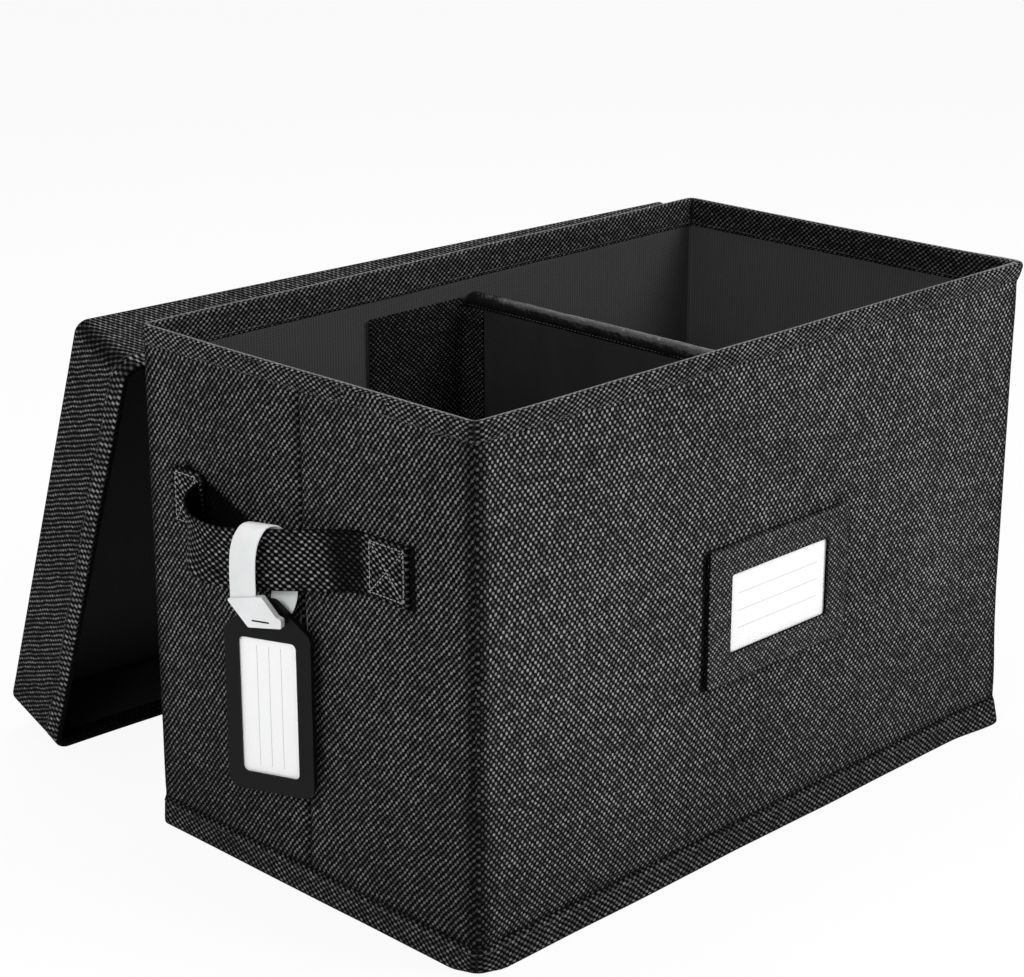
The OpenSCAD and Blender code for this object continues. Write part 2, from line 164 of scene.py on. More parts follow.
def woven(name, pitch_u, pitch_v, light, seed=0.0, depth=0.9, warp=0.015, bow=0.0, slant=0.0,
          core=1.6):
    """Plain weave: flat weft floats catch the light between sunk warp threads.

    The pitches are in millimetres and light is a share of LIGHT. The tone attribute dims the
    The floats' light tone is partly their own grey and partly a painted highlight on their
    crowns. The pitches are in millimetres and light is a share of LIGHT. The tone attribute dims
    the floats below 1 and adds an even painted sheen above 1. The floats run together in diagonals
    by slant; its sign picks which. A higher core makes them smaller, bow lets the rows wander.
    """
    g = Graph(name)
    uv, along_u, along_v = g.uv_coords()
    obj = g.object_coords()

    def rows(place, pitch, vector, scale):
        stray = g.times(g.math("SUBTRACT", g.noise(vector, scale), 0.5), STRAY)
        return g.math("ADD", g.math("DIVIDE", place, pitch * mm), stray)

    sway = g.times(g.math("SUBTRACT", g.noise(uv, 4.0, 1.0), 0.5), bow)
    u = rows(along_u, pitch_u, uv, 90.0)
    v = rows(g.math("ADD", along_v, sway), pitch_v, obj, 60.0)
    iu, iv = g.math("FLOOR", u), g.math("FLOOR", v)
    fu, fv = g.math("FRACT", u), g.math("FRACT", v)
    par = g.math("PINGPONG", g.math("ADD", iu, iv), 1.0)

    def crown(f):
        s = g.math("MULTIPLY_ADD", f, 2.0, -1.0)
        return g.math("SUBTRACT", 1.0, g.math("MULTIPLY", s, s))

    cu, cv = crown(fu), crown(fv)
    both = g.times(g.math("POWER", cu, 0.5), g.math("POWER", cv, 0.8))
    sunk = g.times(g.math("POWER", cu, 1.3), g.math("POWER", cv, 0.5))
    height = g.mix(par, both, g.times(sunk, 0.62))
    comb = g.node("ShaderNodeCombineXYZ")
    g.put(comb.inputs[0], iu)
    g.put(comb.inputs[1], iv)
    comb.inputs[2].default_value = seed
    rnd = g.node("ShaderNodeTexWhiteNoise", noise_dimensions="3D")
    g.put(rnd.inputs["Vector"], comb.outputs[0])
    vary = g.math("MULTIPLY_ADD", g.math("POWER", rnd.outputs["Value"], 1.5), 1.0, 0.45)
    mask = g.mix(par, g.math("POWER", both, core), g.times(sunk, warp))
    if slant:
        across = g.math("SUBTRACT" if slant > 0 else "ADD", u, v)
        wave = g.math("COSINE", g.times(across, math.pi))
        twill = g.math("MULTIPLY_ADD", wave, 0.5 if slant > 0 else -0.5, 0.5)
        mask = g.math("MAXIMUM", mask, g.times(g.math("POWER", twill, 8.0), abs(slant)))
    fibre = g.noise(uv, 2600.0, 2.0, 0.7)
    cloud = g.noise(obj, 9.0, 3.0)
    tone = g.node("ShaderNodeAttribute", attribute_name="tone").outputs["Fac"]
    mask = g.times(mask, g.times(vary, g.math("MULTIPLY_ADD", fibre, 1.0, 0.5)),
                   g.math("MULTIPLY_ADD", cloud, 0.9, 0.55), g.math("MINIMUM", tone, 1.0))
    # painted sheen: tone above 1 adds an even painted highlight
    painted_sheen = g.math("MAXIMUM", g.math("SUBTRACT", tone, 1.0), 0.0)
    painted_sheen = g.times(painted_sheen, g.math("MULTIPLY_ADD", fibre, 0.8, 0.6))
    mask = g.math("ADD", mask, painted_sheen, clamp=True)
    col = g.colour(mask, grey(DARK), grey(LIGHT * light))
    bump = g.bump(g.math("MULTIPLY_ADD", fibre, 0.12, height), depth, 0.0005)
    return g.finish(col, 0.85, bump, Specular_IOR_Level=SHINE)


RIB = 2.6 * mm


def ribbed(name, base, lift):
    """Smooth lining with fine upright ribs, lift times as light on their crests as between."""
    g = Graph(name)
    uv, along_u, along_v = g.uv_coords()

    def wave(place, pitch):
        return g.math("SINE", g.times(g.math("DIVIDE", place, pitch), 2 * math.pi))

    ribs, steps = wave(along_u, RIB), wave(along_v, RIB * 0.8)
    grain = g.noise(uv, 1500.0, 2.0, 0.7)
    cloud = g.noise(g.object_coords(), 9.0, 3.0)
    f = g.math("MULTIPLY_ADD", ribs, 0.22, 0.5)
    f = g.math("ADD", f, g.times(steps, 0.06))
    f = g.math("ADD", f, g.math("MULTIPLY_ADD", grain, 0.5, -0.25))
    f = g.math("MULTIPLY", f, g.math("MULTIPLY_ADD", cloud, 0.6, 0.7), clamp=True)
    col = g.colour(f, grey(base), grey(base * lift))
    h = g.math("ADD", ribs, g.math("MULTIPLY_ADD", grain, 0.5, g.times(steps, 0.4)))
    return g.finish(col, 0.75, g.bump(h, 0.35, 0.0002), Specular_IOR_Level=0.14)


def smooth_cloth(name, base, rough, crumple=0.5, coat=0.0, spec=0.2):
    """Close, slightly creased cloth or tape."""
    g = Graph(name)
    obj = g.object_coords()
    fine = g.noise(obj, 900.0, 3.0, 0.6)
    crease = g.noise(obj, 55.0, 4.0, 0.55)
    cloud = g.noise(obj, 14.0, 3.0)
    f = g.math("MULTIPLY_ADD", fine, 0.8, g.math("MULTIPLY_ADD", cloud, 0.7, -0.35), clamp=True)
    col = g.colour(f, grey(base * 0.6), grey(base * 1.7))
    r = g.math("MULTIPLY_ADD", crease, 0.3, rough - 0.15)
    n = g.bump(crease, 0.5 * crumple, 0.003)
    n = g.bump(fine, 0.3, 0.0002, n)
    return g.finish(col, r, n, Specular_IOR_Level=spec, Coat_Weight=coat, Coat_Roughness=0.35)


def plastic(name, base, rough, **const):
    """Moulded plastic with a fine grain and faint smears; base is its colour."""
    def shade(share):
        return tuple(min(1, c * share) for c in base) + (1,)

    g = Graph(name)
    obj = g.object_coords()
    grain = g.noise(obj, 1800.0, 2.0, 0.6)
    smear = g.noise(obj, 40.0, 3.0)
    r = g.math("MULTIPLY_ADD", smear, 0.18, rough - 0.09)
    col = g.colour(smear, shade(0.88), shade(1.1))
    return g.finish(col, r, g.bump(grain, 0.12, 0.0001), **const)


def film(name):
    """Clear window."""
    g = Graph(name)
    smear = g.noise(g.object_coords(), 30.0, 3.0)
    r = g.math("MULTIPLY_ADD", smear, 0.12, 0.04)
    return g.finish((0.95, 0.96, 0.97, 1), r, None, Alpha=0.05, Specular_IOR_Level=0.4)


RULE_HALF_T, RULE_HALF_L = 0.22 * mm, 44 * mm


def paper(name, pitch, across):
    """White card with three thin ruled lines; across is the axis that the lines cross."""
    g = Graph(name)
    uv, *axes = g.uv_coords()
    line = 0.0
    for place in (-pitch, 0.0, pitch):
        d = g.math("ABSOLUTE", g.math("SUBTRACT", axes[across], place))
        line = g.math("MAXIMUM", line, g.math("LESS_THAN", d, RULE_HALF_T))
    inside = g.math("LESS_THAN", g.math("ABSOLUTE", axes[1 - across]), RULE_HALF_L)
    line = g.times(line, inside)
    fibre = g.noise(uv, 900.0, 3.0, 0.6)
    base = g.colour(fibre, (0.89, 0.89, 0.885, 1), (0.92, 0.92, 0.92, 1))
    col = g.colour(g.times(line, 0.75), base, (0.35, 0.37, 0.4, 1))
    return g.finish(col, 0.65, g.bump(fibre, 0.06, 0.0001), Specular_IOR_Level=0.3)


def board_stock(name):
    """Grey board."""
    g = Graph(name)
    obj = g.object_coords()
    f = g.noise(obj, 420.0, 4.0, 0.65)
    col = g.colour(f, (0.22, 0.2, 0.175, 1), (0.42, 0.4, 0.36, 1))
    return g.finish(col, 0.9, g.bump(f, 0.3, 0.0003), Specular_IOR_Level=0.2)


def fuzz(name, base):
    """Hook and loop tape."""
    g = Graph(name)
    obj = g.object_coords()
    f = g.noise(obj, 1300.0, 4.0, 0.8)
    col = g.colour(f, grey(base * 0.4), grey(base * 2.4))
    return g.finish(col, 0.95, g.bump(f, 1.0, 0.0012), Specular_IOR_Level=0.2, Sheen_Weight=0.2)


weave_wall = woven("woven_cloth", 2.4, 2.7, 1.06, warp=0.035, bow=0.03)
weave_end = woven("woven_cloth_end", 2.3, 2.7, 0.86, 3.0, bow=0.03, slant=0.55, core=2.6)
weave_skirt = woven("woven_skirt", 2.25, 2.9, 0.6, 4.0, slant=-0.7, core=2.2)
weave_band = woven("woven_band", 2.7, 1.85, 0.85, 5.0, slant=0.3)
weave_hem = woven("woven_hem", 2.8, 2.3, 0.9, 12.0, slant=0.35)
weave_lid_band = woven("woven_lid_band", 2.6, 4.4, 0.85, 9.0, slant=-0.35)
weave_facing = woven("woven_facing", 2.4, 2.1, 0.6, 6.0, slant=0.5)
weave_label = woven("woven_label", 2.1, 2.1, 1.0, 7.0, warp=0.06)
weave_strap = woven("woven_strap", 3.1, 2.4, 1.0, 8.0, 1.0, warp=0.0, slant=-0.14, core=2.3)
weave_flap = woven("woven_flap", 2.3, 2.0, 0.24, 11.0)
lining_mat = ribbed("ribbed_lining", 0.02, 3.2)
lid_lining_mat = ribbed("lid_lining", 0.005, 2.0)
base_mat = ribbed("base_cloth", 0.018, 3.0)
divider_mat = smooth_cloth("divider_cloth", 0.012, 0.62)
binding_mat = smooth_cloth("binding_tape", 0.004, 0.26, crumple=2.6, coat=0.22, spec=0.35)
thread_mat = smooth_cloth("thread", 0.05, 0.55, crumple=0.1)
light_thread = smooth_cloth("strap_thread", 0.26, 0.5, crumple=0.1)
tag_mat = plastic("tag_plastic", (0.003, 0.003, 0.0032), 0.34, Specular_IOR_Level=0.13)
loop_mat = plastic("loop_plastic", (0.74, 0.75, 0.75), 0.34, Subsurface_Weight=0.25,
                   Subsurface_Scale=0.002, Specular_IOR_Level=0.5)
film_mat = film("clear_film")
label_paper = paper("label_card_paper", 13 * mm, 1)
tag_paper = paper("tag_card_paper", 9 * mm, 0)
board_mat = board_stock("grey_board")
tape_mat = fuzz("hook_tape", 0.012)

# ---------------------------------------------------------------- geometry helpers


def along(points):
    """Distance from the first point to each point, along the line."""
    return np.concatenate([[0], np.cumsum(np.linalg.norm(np.diff(points, axis=0), axis=1))])


def tangents(points):
    t = np.gradient(points, axis=0)
    return t / np.linalg.norm(t, axis=1)[:, None]


def placed(points, matrix):
    m = np.array(matrix)
    return np.asarray(points, float) @ m[:3, :3].T + m[:3, 3]


def smoothstep(x, a, b):
    """0 at a, 1 at b and smooth in between; a may be the larger one."""
    t = np.clip((x - a) / (b - a), 0, 1)
    return t * t * (3 - 2 * t)


def bell(x, middle, width):
    return math.exp(-((x - middle) / width) ** 2)


def wob(p, scale, amp, seed=0.0):
    """Smooth unevenness of up to amp either way; a higher scale makes it finer."""
    q = Vector((p[0] * scale + seed, p[1] * scale - seed, p[2] * scale + 2 * seed))
    return noise.noise(q) * amp


def make(name, verts, faces, uvs, tone, mat, body, slot, replaced=(), smooth=True):
    """New piece: uvs and tone are per vertex."""
    me = bpy.data.meshes.new(name)
    me.from_pydata([tuple(v) for v in verts], [], faces)
    me.update()
    layer = me.uv_layers.new(name="UVMap")
    vertex = np.zeros(len(me.loops), dtype=np.int32)
    me.loops.foreach_get("vertex_index", vertex)
    layer.data.foreach_set("uv", np.asarray(uvs, np.float32).reshape(-1, 2)[vertex].ravel())
    tones = me.attributes.new("tone", "FLOAT", "POINT")
    tone = np.ones(len(verts)) if tone is None else tone
    tones.data.foreach_set("value", np.asarray(tone, np.float32).ravel())
    bm = bmesh.new()
    bm.from_mesh(me)
    bmesh.ops.recalc_face_normals(bm, faces=bm.faces)
    bm.to_mesh(me)
    bm.free()
    for p in me.polygons:
        p.use_smooth = smooth
    me.materials.append(mat)
    ob = bpy.data.objects.new(name, me)
    scene.collection.objects.link(ob)
    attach(ob, body)
    if replaced:
        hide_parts(*replaced)
    return ob


def shell(name, outer, inner, uv, tone, **kw):
    """Closed sheet between two (ni, nj, 3) grids."""
    ni, nj = outer.shape[:2]
    n = ni * nj
    faces = []

    def edge(a, b):
        faces.append((a, b, n + b, n + a))

    for k in range(n - nj):
        if (k + 1) % nj:
            quad = (k, k + nj, k + nj + 1, k + 1)
            faces += [quad, tuple(n + q for q in reversed(quad))]
    for i in range(ni - 1):
        for j in (0, nj - 1):
            edge(i * nj + j, (i + 1) * nj + j)
    for j in range(nj - 1):
        for i in (0, ni - 1):
            edge(i * nj + j, i * nj + j + 1)
    verts = np.concatenate([outer.reshape(-1, 3), inner.reshape(-1, 3)])
    tone = None if tone is None else np.concatenate([tone, tone])
    return make(name, verts, faces, np.concatenate([uv, uv]), tone, **kw)


def swept(name, grid, uv, tone, ends=False, **kw):
    """Tube through rings of points, grid is (rings, points, 3): closed, or with two ends."""
    ni, nj = grid.shape[:2]
    faces = []
    for i in range(ni - 1 if ends else ni):
        for j in range(nj):
            i2, j2 = (i + 1) % ni, (j + 1) % nj
            faces.append((i * nj + j, i2 * nj + j, i2 * nj + j2, i * nj + j2))
    if ends:
        faces += [tuple(range(nj)), tuple(reversed(range((ni - 1) * nj, ni * nj)))]
    return make(name, grid.reshape(-1, 3), faces, uv, tone, **kw)


CORNER_STEPS = 6
SIDES = ("front", "right", "back", "left")
TURN = dict(zip(SIDES, np.array([[[1, 0], [0, -1]], [[0, 1], [1, 0]],
                                 [[-1, 0], [0, 1]], [[0, -1], [-1, 0]]])))


def side_path(ha, hb, r, step):
    """One wall of a rounded rectangle, from mid corner to mid corner: a, b, na, nb, s."""
    def corner(x, start):
        for k in range(CORNER_STEPS + 1):
            f = math.radians(start - 45 * k / CORNER_STEPS)
            pts.append((x + r * math.cos(f), hb - r + r * math.sin(f), math.cos(f), math.sin(f)))

    pts = []
    corner(-ha + r, 135)
    n = max(2, int(round(2 * ha / step)) - 2)
    pts += [(-ha + r + 2 * (ha - r) * k / n, hb, 0.0, 1.0) for k in range(1, n)]
    corner(ha - r, 90)
    pts = np.array(pts)
    d = along(pts[:, :2])
    return np.column_stack([pts, d - d[-1] / 2])


def wall_path(side, hx, hy, r, step):
    """One wall seen from above: points, normals, distance from the wall's middle."""
    p = side_path(*((hx, hy) if side in ("front", "back") else (hy, hx)), r, step)
    t = TURN[side]
    return p[:, :2] @ t.T, p[:, 2:4] @ t.T, p[:, 4]


def full_ring(hx, hy, r, step):
    """Whole rounded rectangle: points, normals, distance along it."""
    walls = [wall_path(side, hx, hy, r, step) for side in SIDES]
    pos = np.concatenate([w[0][:-1] for w in walls])
    return pos, np.concatenate([w[1][:-1] for w in walls]), along(pos)


def catmull(pts, sub):
    """Smooth curve through the points, with sub steps from one to the next."""
    pts = [np.array(p, float) for p in pts]
    p = [2 * pts[0] - pts[1]] + pts + [2 * pts[-1] - pts[-2]]
    out = []
    for i in range(1, len(p) - 2):
        for k in range(sub):
            t = k / sub
            a, b, c, d = p[i - 1], p[i], p[i + 1], p[i + 2]
            out.append(0.5 * (2 * b + (c - a) * t + (2 * a - 5 * b + 4 * c - d) * t * t
                              + (3 * b - a - 3 * c + d) * t ** 3))
    out.append(pts[-1])
    return np.array(out)


def stitches(name, lines, body, slot, pitch=4.2 * mm, length=3.0 * mm, r=0.38 * mm, mat=None):
    """Rows of short threads along lines of (points, normals)."""
    rings = [(-0.7, 0.75), (0.0, 1.0), (0.7, 0.75)]  # share of the half length, of the radius
    sides = 6
    verts, faces = [], []
    for pts, nrm in lines:
        pts, nrm = np.asarray(pts, float), np.asarray(nrm, float)
        d = along(pts)

        def at(s, values):
            return np.array([np.interp(s, d, values[:, q]) for q in range(3)])

        count = int(d[-1] / pitch)
        for k in range(count):
            s = (k + 0.5) * d[-1] / count
            c, n = at(s, pts), at(s, nrm)
            t = at(min(s + 1 * mm, d[-1]), pts) - at(max(s - 1 * mm, 0), pts)
            t /= max(np.linalg.norm(t), 1e-9)
            n = n - t * (n @ t)
            n /= np.linalg.norm(n)
            w = np.cross(t, n)
            half = length / 2 * (1 + 0.08 * math.sin(k * 12.9898))
            j = len(verts)
            for x, share in rings:
                for q in range(sides):
                    f = 2 * math.pi * q / sides
                    verts.append(c + t * x * half + (w * math.cos(f) + n * math.sin(f)) * share * r)
            verts += [c - t * half - n * r * 0.5, c + t * half - n * r * 0.5]
            first, last = j + 3 * sides, j + 3 * sides + 1
            for q in range(sides):
                q2 = (q + 1) % sides
                for m in (j, j + sides):
                    faces.append((m + q, m + q2, m + q2 + sides, m + q + sides))
                faces.append((j + q2, j + q, first))
                faces.append((j + 2 * sides + q, j + 2 * sides + q2, last))
    verts = np.array(verts)
    return make(name, verts, faces, verts[:, :2], None, mat or thread_mat, body, slot)


def soft_box(name, low, high, r, step, body, slot, mat, replaced=(), amp=0.0, uvaxes=(0, 1),
             seed=0.0, place=None):
    """Slab with rounded edges, evenly divided, with a little unevenness."""
    low, high = np.array(low, float), np.array(high, float)
    bm = bmesh.new()
    bmesh.ops.create_cube(bm, size=1.0)
    for v in bm.verts:
        v.co = Vector((low + high) / 2 + np.array(v.co) * (high - low))
    bmesh.ops.bevel(bm, geom=list(bm.edges), offset=r, segments=3, profile=0.5, affect="EDGES")
    for axis in range(3):
        flat = high[axis] - low[axis] - 2 * r
        n = int(flat / step)
        for k in range(1, n):
            cut, normal = [0, 0, 0], [0, 0, 0]
            cut[axis], normal[axis] = low[axis] + r + flat * k / n, 1
            bmesh.ops.bisect_plane(bm, geom=list(bm.verts) + list(bm.edges) + list(bm.faces),
                                   plane_co=cut, plane_no=normal)
    bm.normal_update()
    if amp:
        for v in bm.verts:
            v.co += v.normal * wob(v.co, 18.0, amp, seed)
    verts = np.array([v.co[:] for v in bm.verts])
    bm.verts.index_update()
    faces = [tuple(v.index for v in f.verts) for f in bm.faces]
    bm.free()
    uv = verts[:, list(uvaxes)]
    if place is not None:
        verts = placed(verts, place)
    return make(name, verts, faces, uv, None, mat, body, slot, replaced)


def rect_ring(w, h, r, n=8, per=12):
    """Rounded rectangle outline with matching points for rings of other sizes."""
    pts = []
    for cx, cz, a0 in ((1, 1, 0), (-1, 1, 90), (-1, -1, 180), (1, -1, 270)):
        for k in range(n + 1):
            f = math.radians(a0 + 90 * k / n)
            pts.append((cx * (w / 2 - r) + r * math.cos(f), cz * (h / 2 - r) + r * math.sin(f)))
    full = []
    for i in range(len(pts)):
        a, b = np.array(pts[i]), np.array(pts[(i + 1) % len(pts)])
        div = per if i % (n + 1) == n else 1
        full += [a + (b - a) * k / div for k in range(div)]
    return np.array(full)


def card(name, w, h, t, place, mat, body, node, r=1.5 * mm, slot="card"):
    """Flat sheet with round corners in its own XZ plane, facing -Y."""
    p = rect_ring(w, h, r, n=5, per=6)
    ni = len(p)
    verts = [(q[0], -t / 2, q[1]) for q in p] + [(q[0], t / 2, q[1]) for q in p]
    faces = [tuple(range(ni)), tuple(range(2 * ni - 1, ni - 1, -1))]
    faces += [(i, (i + 1) % ni, ni + (i + 1) % ni, ni + i) for i in range(ni)]
    uv = [(v[0], v[2]) for v in verts]
    return make(name, placed(verts, place), faces, uv, None, mat, body, slot, (node,),
                smooth=False)


def move(x, y, z):
    return Matrix.Translation((x, y, z))


def turn(degrees, axis):
    return Matrix.Rotation(math.radians(degrees), 4, axis)


# ---------------------------------------------------------------- case walls

L, W, H, R = 584 * mm, 332 * mm, 380 * mm, 8 * mm  # length, depth, height, corner radius
CLOTH = 1.2 * mm
HEM = 20 * mm
FRONT_Y = -W / 2
LX, LZ = 7 * mm, 188 * mm  # middle of the label pocket
CARD_W, CARD_H = 127 * mm, 76 * mm
ENDS = ("left", "right")


def near_corner(x, y, reach, full):
    """1 at the corner where x and y are greatest, from 0 at reach from it."""
    return smoothstep(x, L / 2 - reach, L / 2 - full) * smoothstep(y, W / 2 - reach, W / 2 - full)


def box_tone(a, z, a0, a1, z0, z1, soft):
    """1 inside a rectangle of the wall, fading to 0 over the distance soft."""
    out = max(a0 - a, a - a1, 0), max(z0 - z, z - z1, 0)
    return 1 - smoothstep(math.hypot(*out), 0, soft)


def foot_lift(x, y, z):
    """The foot's left front corner turns up a little where the cloth is folded and sewn."""
    if x > 0 or y > 0:
        return 0.0
    return 4.0 * mm * near_corner(-x, -y, 26 * mm, 3 * mm) * max(1 - z / HEM, 0) ** 1.5


def splay(x, y, z):
    """The right front corner has been pushed out of shape at its foot and at its rim."""
    foot = 2.9 * mm * (1 - smoothstep(z, 15 * mm, 120 * mm)) + 2.6 * mm * max(1 - z / HEM, 0)
    rim_out = 3.2 * mm * smoothstep(z, H - 16 * mm, H - 2 * mm)
    return near_corner(x, -y, 60 * mm, 3 * mm) * (foot + rim_out)


def wall_bulge(side, s, z, p):
    """How far the cloth stands off the board, in metres."""
    d = wob(p, 9.0, 0.9 * mm, 3.1) + wob(p, 30.0, 0.35 * mm, 7.7)
    d *= smoothstep(z, 0.0, 40 * mm) * (1 - 0.6 * smoothstep(z, H - 40 * mm, H))
    d -= 0.9 * mm * bell(z, 22 * mm, 5 * mm)  # drawn in by the hem's seam
    if side in ENDS:  # the crease between the two half boards, and slack beside it
        top = 0.75 + 0.25 * smoothstep(z, H, H - 60 * mm)
        d -= 2.6 * mm * smoothstep(z, 4 * mm, 60 * mm) * top * math.exp(-abs(s) / (3.2 * mm))
        d += 0.9 * mm * bell(abs(s), 60 * mm, 45 * mm)
    if side == "front":  # flat behind the label pocket and where its card slides out
        flat = box_tone(s, z, LX - 205 * mm, LX + 80 * mm, LZ - 46 * mm, LZ + 46 * mm, 25 * mm)
        d += flat * min(0.05 * mm - d, 0)
    tight = near_corner(abs(p[0]), abs(p[1]), 30 * mm, 6 * mm)
    return d + tight * max(0.1 * mm - d, 0) + splay(p[0], p[1], z)


def wall_shade(side, s, z):
    """The wall cloth's tone: darker towards the foot, with painted shade and painted shadow where
    something lies close over it.
    """
    low = 0.68 + 0.32 * smoothstep(z, 0, 230 * mm)
    # painted shade in the pocket's open edge and painted shadow round its other edges
    if side == "front":  # beside the pocket's open edge, and round its other edges
        z0, z1 = LZ - 52.5 * mm, LZ + 52.5 * mm
        left = box_tone(s, z, LX - 81.5 * mm, LX - 78 * mm, z0 + 2.5 * mm, z1 - 2.5 * mm, 1.5 * mm)
        rest = box_tone(s, z, LX - 78 * mm, LX + 78.5 * mm, z0, z1, 3 * mm)
        return low * (1 - 0.95 * left) * (1 - 0.5 * rest)
    # painted shadow behind the strap's loop and painted shade in the slit beside its front end
    if side in ENDS:  # behind the strap's loop, and beside its front end
        y = -s
        loop_top = 286 * mm + 0.384 * (y - 97 * mm)
        gap = smoothstep(loop_top - z, 0, 4 * mm) * smoothstep(y, 22 * mm, 58 * mm)
        gap *= box_tone(y, z, 0, 118 * mm, 236 * mm, H, 4 * mm)
        slit = box_tone(y, z, -111 * mm, -105 * mm, 243 * mm, 287 * mm, 1.5 * mm)
        return low * (1 - 0.985 * gap) * (1 - 0.95 * slit)
    return low


def build_wall(side, node, mat):
    pos, nor, path = wall_path(side, L / 2, W / 2, R, 5 * mm)
    end_cuts = [np.linspace(*cut) * mm for cut in ((-122, -30, 38), (-8, 8, 17), (104, 113, 10))]
    front_cuts = [LX + np.linspace(-84, -76, 9) * mm]
    s = np.sort(np.concatenate([path] + (
        end_cuts if side in ENDS else front_cuts if side == "front" else [])))
    pos = np.column_stack([np.interp(s, path, pos[:, k]) for k in (0, 1)])
    nor = np.column_stack([np.interp(s, path, nor[:, k]) for k in (0, 1)])
    zs = np.concatenate([np.linspace(0.3 * mm, 30 * mm, 13),
                         np.linspace(36 * mm, H - 16 * mm, 55),
                         np.linspace(H - 12 * mm, H - 1.2 * mm, 5)])
    if side in ENDS:
        zs = np.unique(np.concatenate([zs, np.linspace(238, 294, 24) * mm]))
    ni, nj = len(s), len(zs)
    outer, inner = np.zeros((ni, nj, 3)), np.zeros((ni, nj, 3))
    uv, tone = np.zeros((ni, nj, 2)), np.ones((ni, nj))
    half = abs(path[0])
    for i in range(ni):
        n = np.array([nor[i][0], nor[i][1], 0.0])
        for j, z in enumerate(zs):
            p = np.array([pos[i][0], pos[i][1], z])
            d = wall_bulge(side, s[i], z, p)
            p[2] += foot_lift(p[0], p[1], z)
            outer[i, j] = p + n * d
            inner[i, j] = p + n * (min(d, 0) - CLOTH)
            uv[i, j] = (s[i], z)
            # painted shade: darker at the wall's corners, in the crease between an end's two half
            # boards, and in the crease along the hem's seam
            shade = 0.34 + 0.66 * smoothstep(half - abs(s[i]), 3 * mm, 13 * mm)
            if side in ENDS:
                shade *= 1 - 0.65 * bell(s[i], 0, 2.6 * mm)
            shade *= 1 - 0.85 * bell(z, 21.5 * mm, 2.2 * mm)
            tone[i, j] = shade * wall_shade(side, s[i], z)
    return shell(side + "_wall_cloth", outer, inner, uv, tone, mat=mat, body="case", slot="woven",
                 replaced=(node,))


build_wall("front", "front_cover", weave_wall)
build_wall("back", "back_cover", weave_wall)
build_wall("left", "left_end_cover", weave_end)
build_wall("right", "right_end_cover", weave_end)

# ---------------------------------------------------------------- rim and foot hem


def ring_sweep(name, profile, hx, hy, r, step, z0, mat, body, replaced, wave, tone_fn, place=None):
    """Band of the given profile, (off the wall, height), round a rounded rectangle."""
    pos, nor, d = full_ring(hx, hy, r, step)
    ni, nj = len(d), len(profile)
    grid, uv, tone = np.zeros((ni, nj, 3)), np.zeros((ni, nj, 2)), np.ones((ni, nj))
    arc = along(profile)
    for i in range(ni):
        n = nor[i]
        for j, (off, z) in enumerate(profile):
            p = np.array([pos[i][0] + n[0] * off, pos[i][1] + n[1] * off, z0 + z])
            out, lift = wave(p, off, z, pos[i])
            grid[i, j] = p + np.array([n[0] * out, n[1] * out, lift])
            uv[i, j] = (d[i], arc[j])
            tone[i, j] = tone_fn(off, z, n)
    if place is not None:
        grid = placed(grid, place)
    return swept(name, grid, uv, tone, mat=mat, body=body, slot="hem", replaced=replaced)


# painted shade: darker round the corners of the ring
def corner_shade(n):
    return 0.42 + 0.58 * smoothstep(max(abs(n[0]), abs(n[1])), 0.93, 1.0)


# cloth folded over the boards' edges, from 13 mm down outside to 22 mm down inside
RIM_PROFILE = np.array([
    (0.1, -13.2), (0.75, -12.6), (0.95, -9), (0.95, -3), (0.8, -1.2), (0.4, -0.4), (-0.1, 0.1),
    (-0.35, 0.25), (-0.75, 0.42), (-1.0, 0.5), (-1.4, 0.55), (-3.4, 0.55), (-4.9, 0.1),
    (-5.6, -1.2), (-5.75, -4), (-5.7, -20.5), (-5.5, -21.8), (-4.9, -22.3), (-4.35, -21.8),
    (-4.3, -12), (-4.3, -4), (-3.2, -1.6), (-1.4, -1.5), (-0.5, -4), (-0.5, -12.6)]) * mm
FACING_FACES = range(11, 20)  # the faces of that profile on the inside
# tone of the painted highlight along the fold's crest
FOLD_LIGHT = 1.75


def rim_wave(p, off, z, q):
    out = wob(p, 14.0, 0.5 * mm, 1.3)
    out += splay(q[0], q[1], H + z) * smoothstep(off, -4 * mm, -0.8 * mm)
    return out, wob(p, 10.0, 0.6 * mm, 4.4) * (1 if z > -8 * mm else 0.3)


def rim_tone(off, z, n):
    """A thin painted highlight along one edge of the fold: the outer edge on the back and right
    walls, the inner edge on the other two. Painted shade darkens the hem's lower edge and the right
    wall's facing."""
    outer_line = -1.5 * mm < off < -0.3 * mm and z > 0
    inner_line = -5.0 * mm < off < -3.3 * mm and z > 0
    if outer_line if n[0] + n[1] > 0 else inner_line:
        return FOLD_LIGHT
    if off < -5 * mm and z < -1 * mm and n[0] > 0.5:
        return 0.5 * corner_shade(n)
    if off > 0 and z < -12.7 * mm:
        return 0.4 * corner_shade(n)
    return corner_shade(n)


rim = ring_sweep("rim_band", RIM_PROFILE, L / 2, W / 2, R, 6 * mm, H, weave_band, "case",
                 ("rim_facing",), rim_wave, rim_tone)
rim.data.materials.append(weave_facing)
for k, p in enumerate(rim.data.polygons):
    if k % len(RIM_PROFILE) in FACING_FACES:
        p.material_index = 1

# stands a little off the wall and flares at the right front corner
HEM_PROFILE = np.array([
    (-0.6, 21.6), (0.4, 21.2), (1.15, 19.0), (1.6, 14.0), (1.9, 8.0), (2.2, 3.0), (2.0, 0.9),
    (0.9, 0.0), (-0.6, 0.0), (-1.2, 0.6), (-1.0, 10.0), (-0.9, 20.8)]) * mm


def hem_wave(p, off, z, q):
    slack = wob(p, 16.0, 0.9 * mm, 9.2) * max(1 - z / HEM, 0)
    return slack + splay(q[0], q[1], z), foot_lift(q[0], q[1], z)


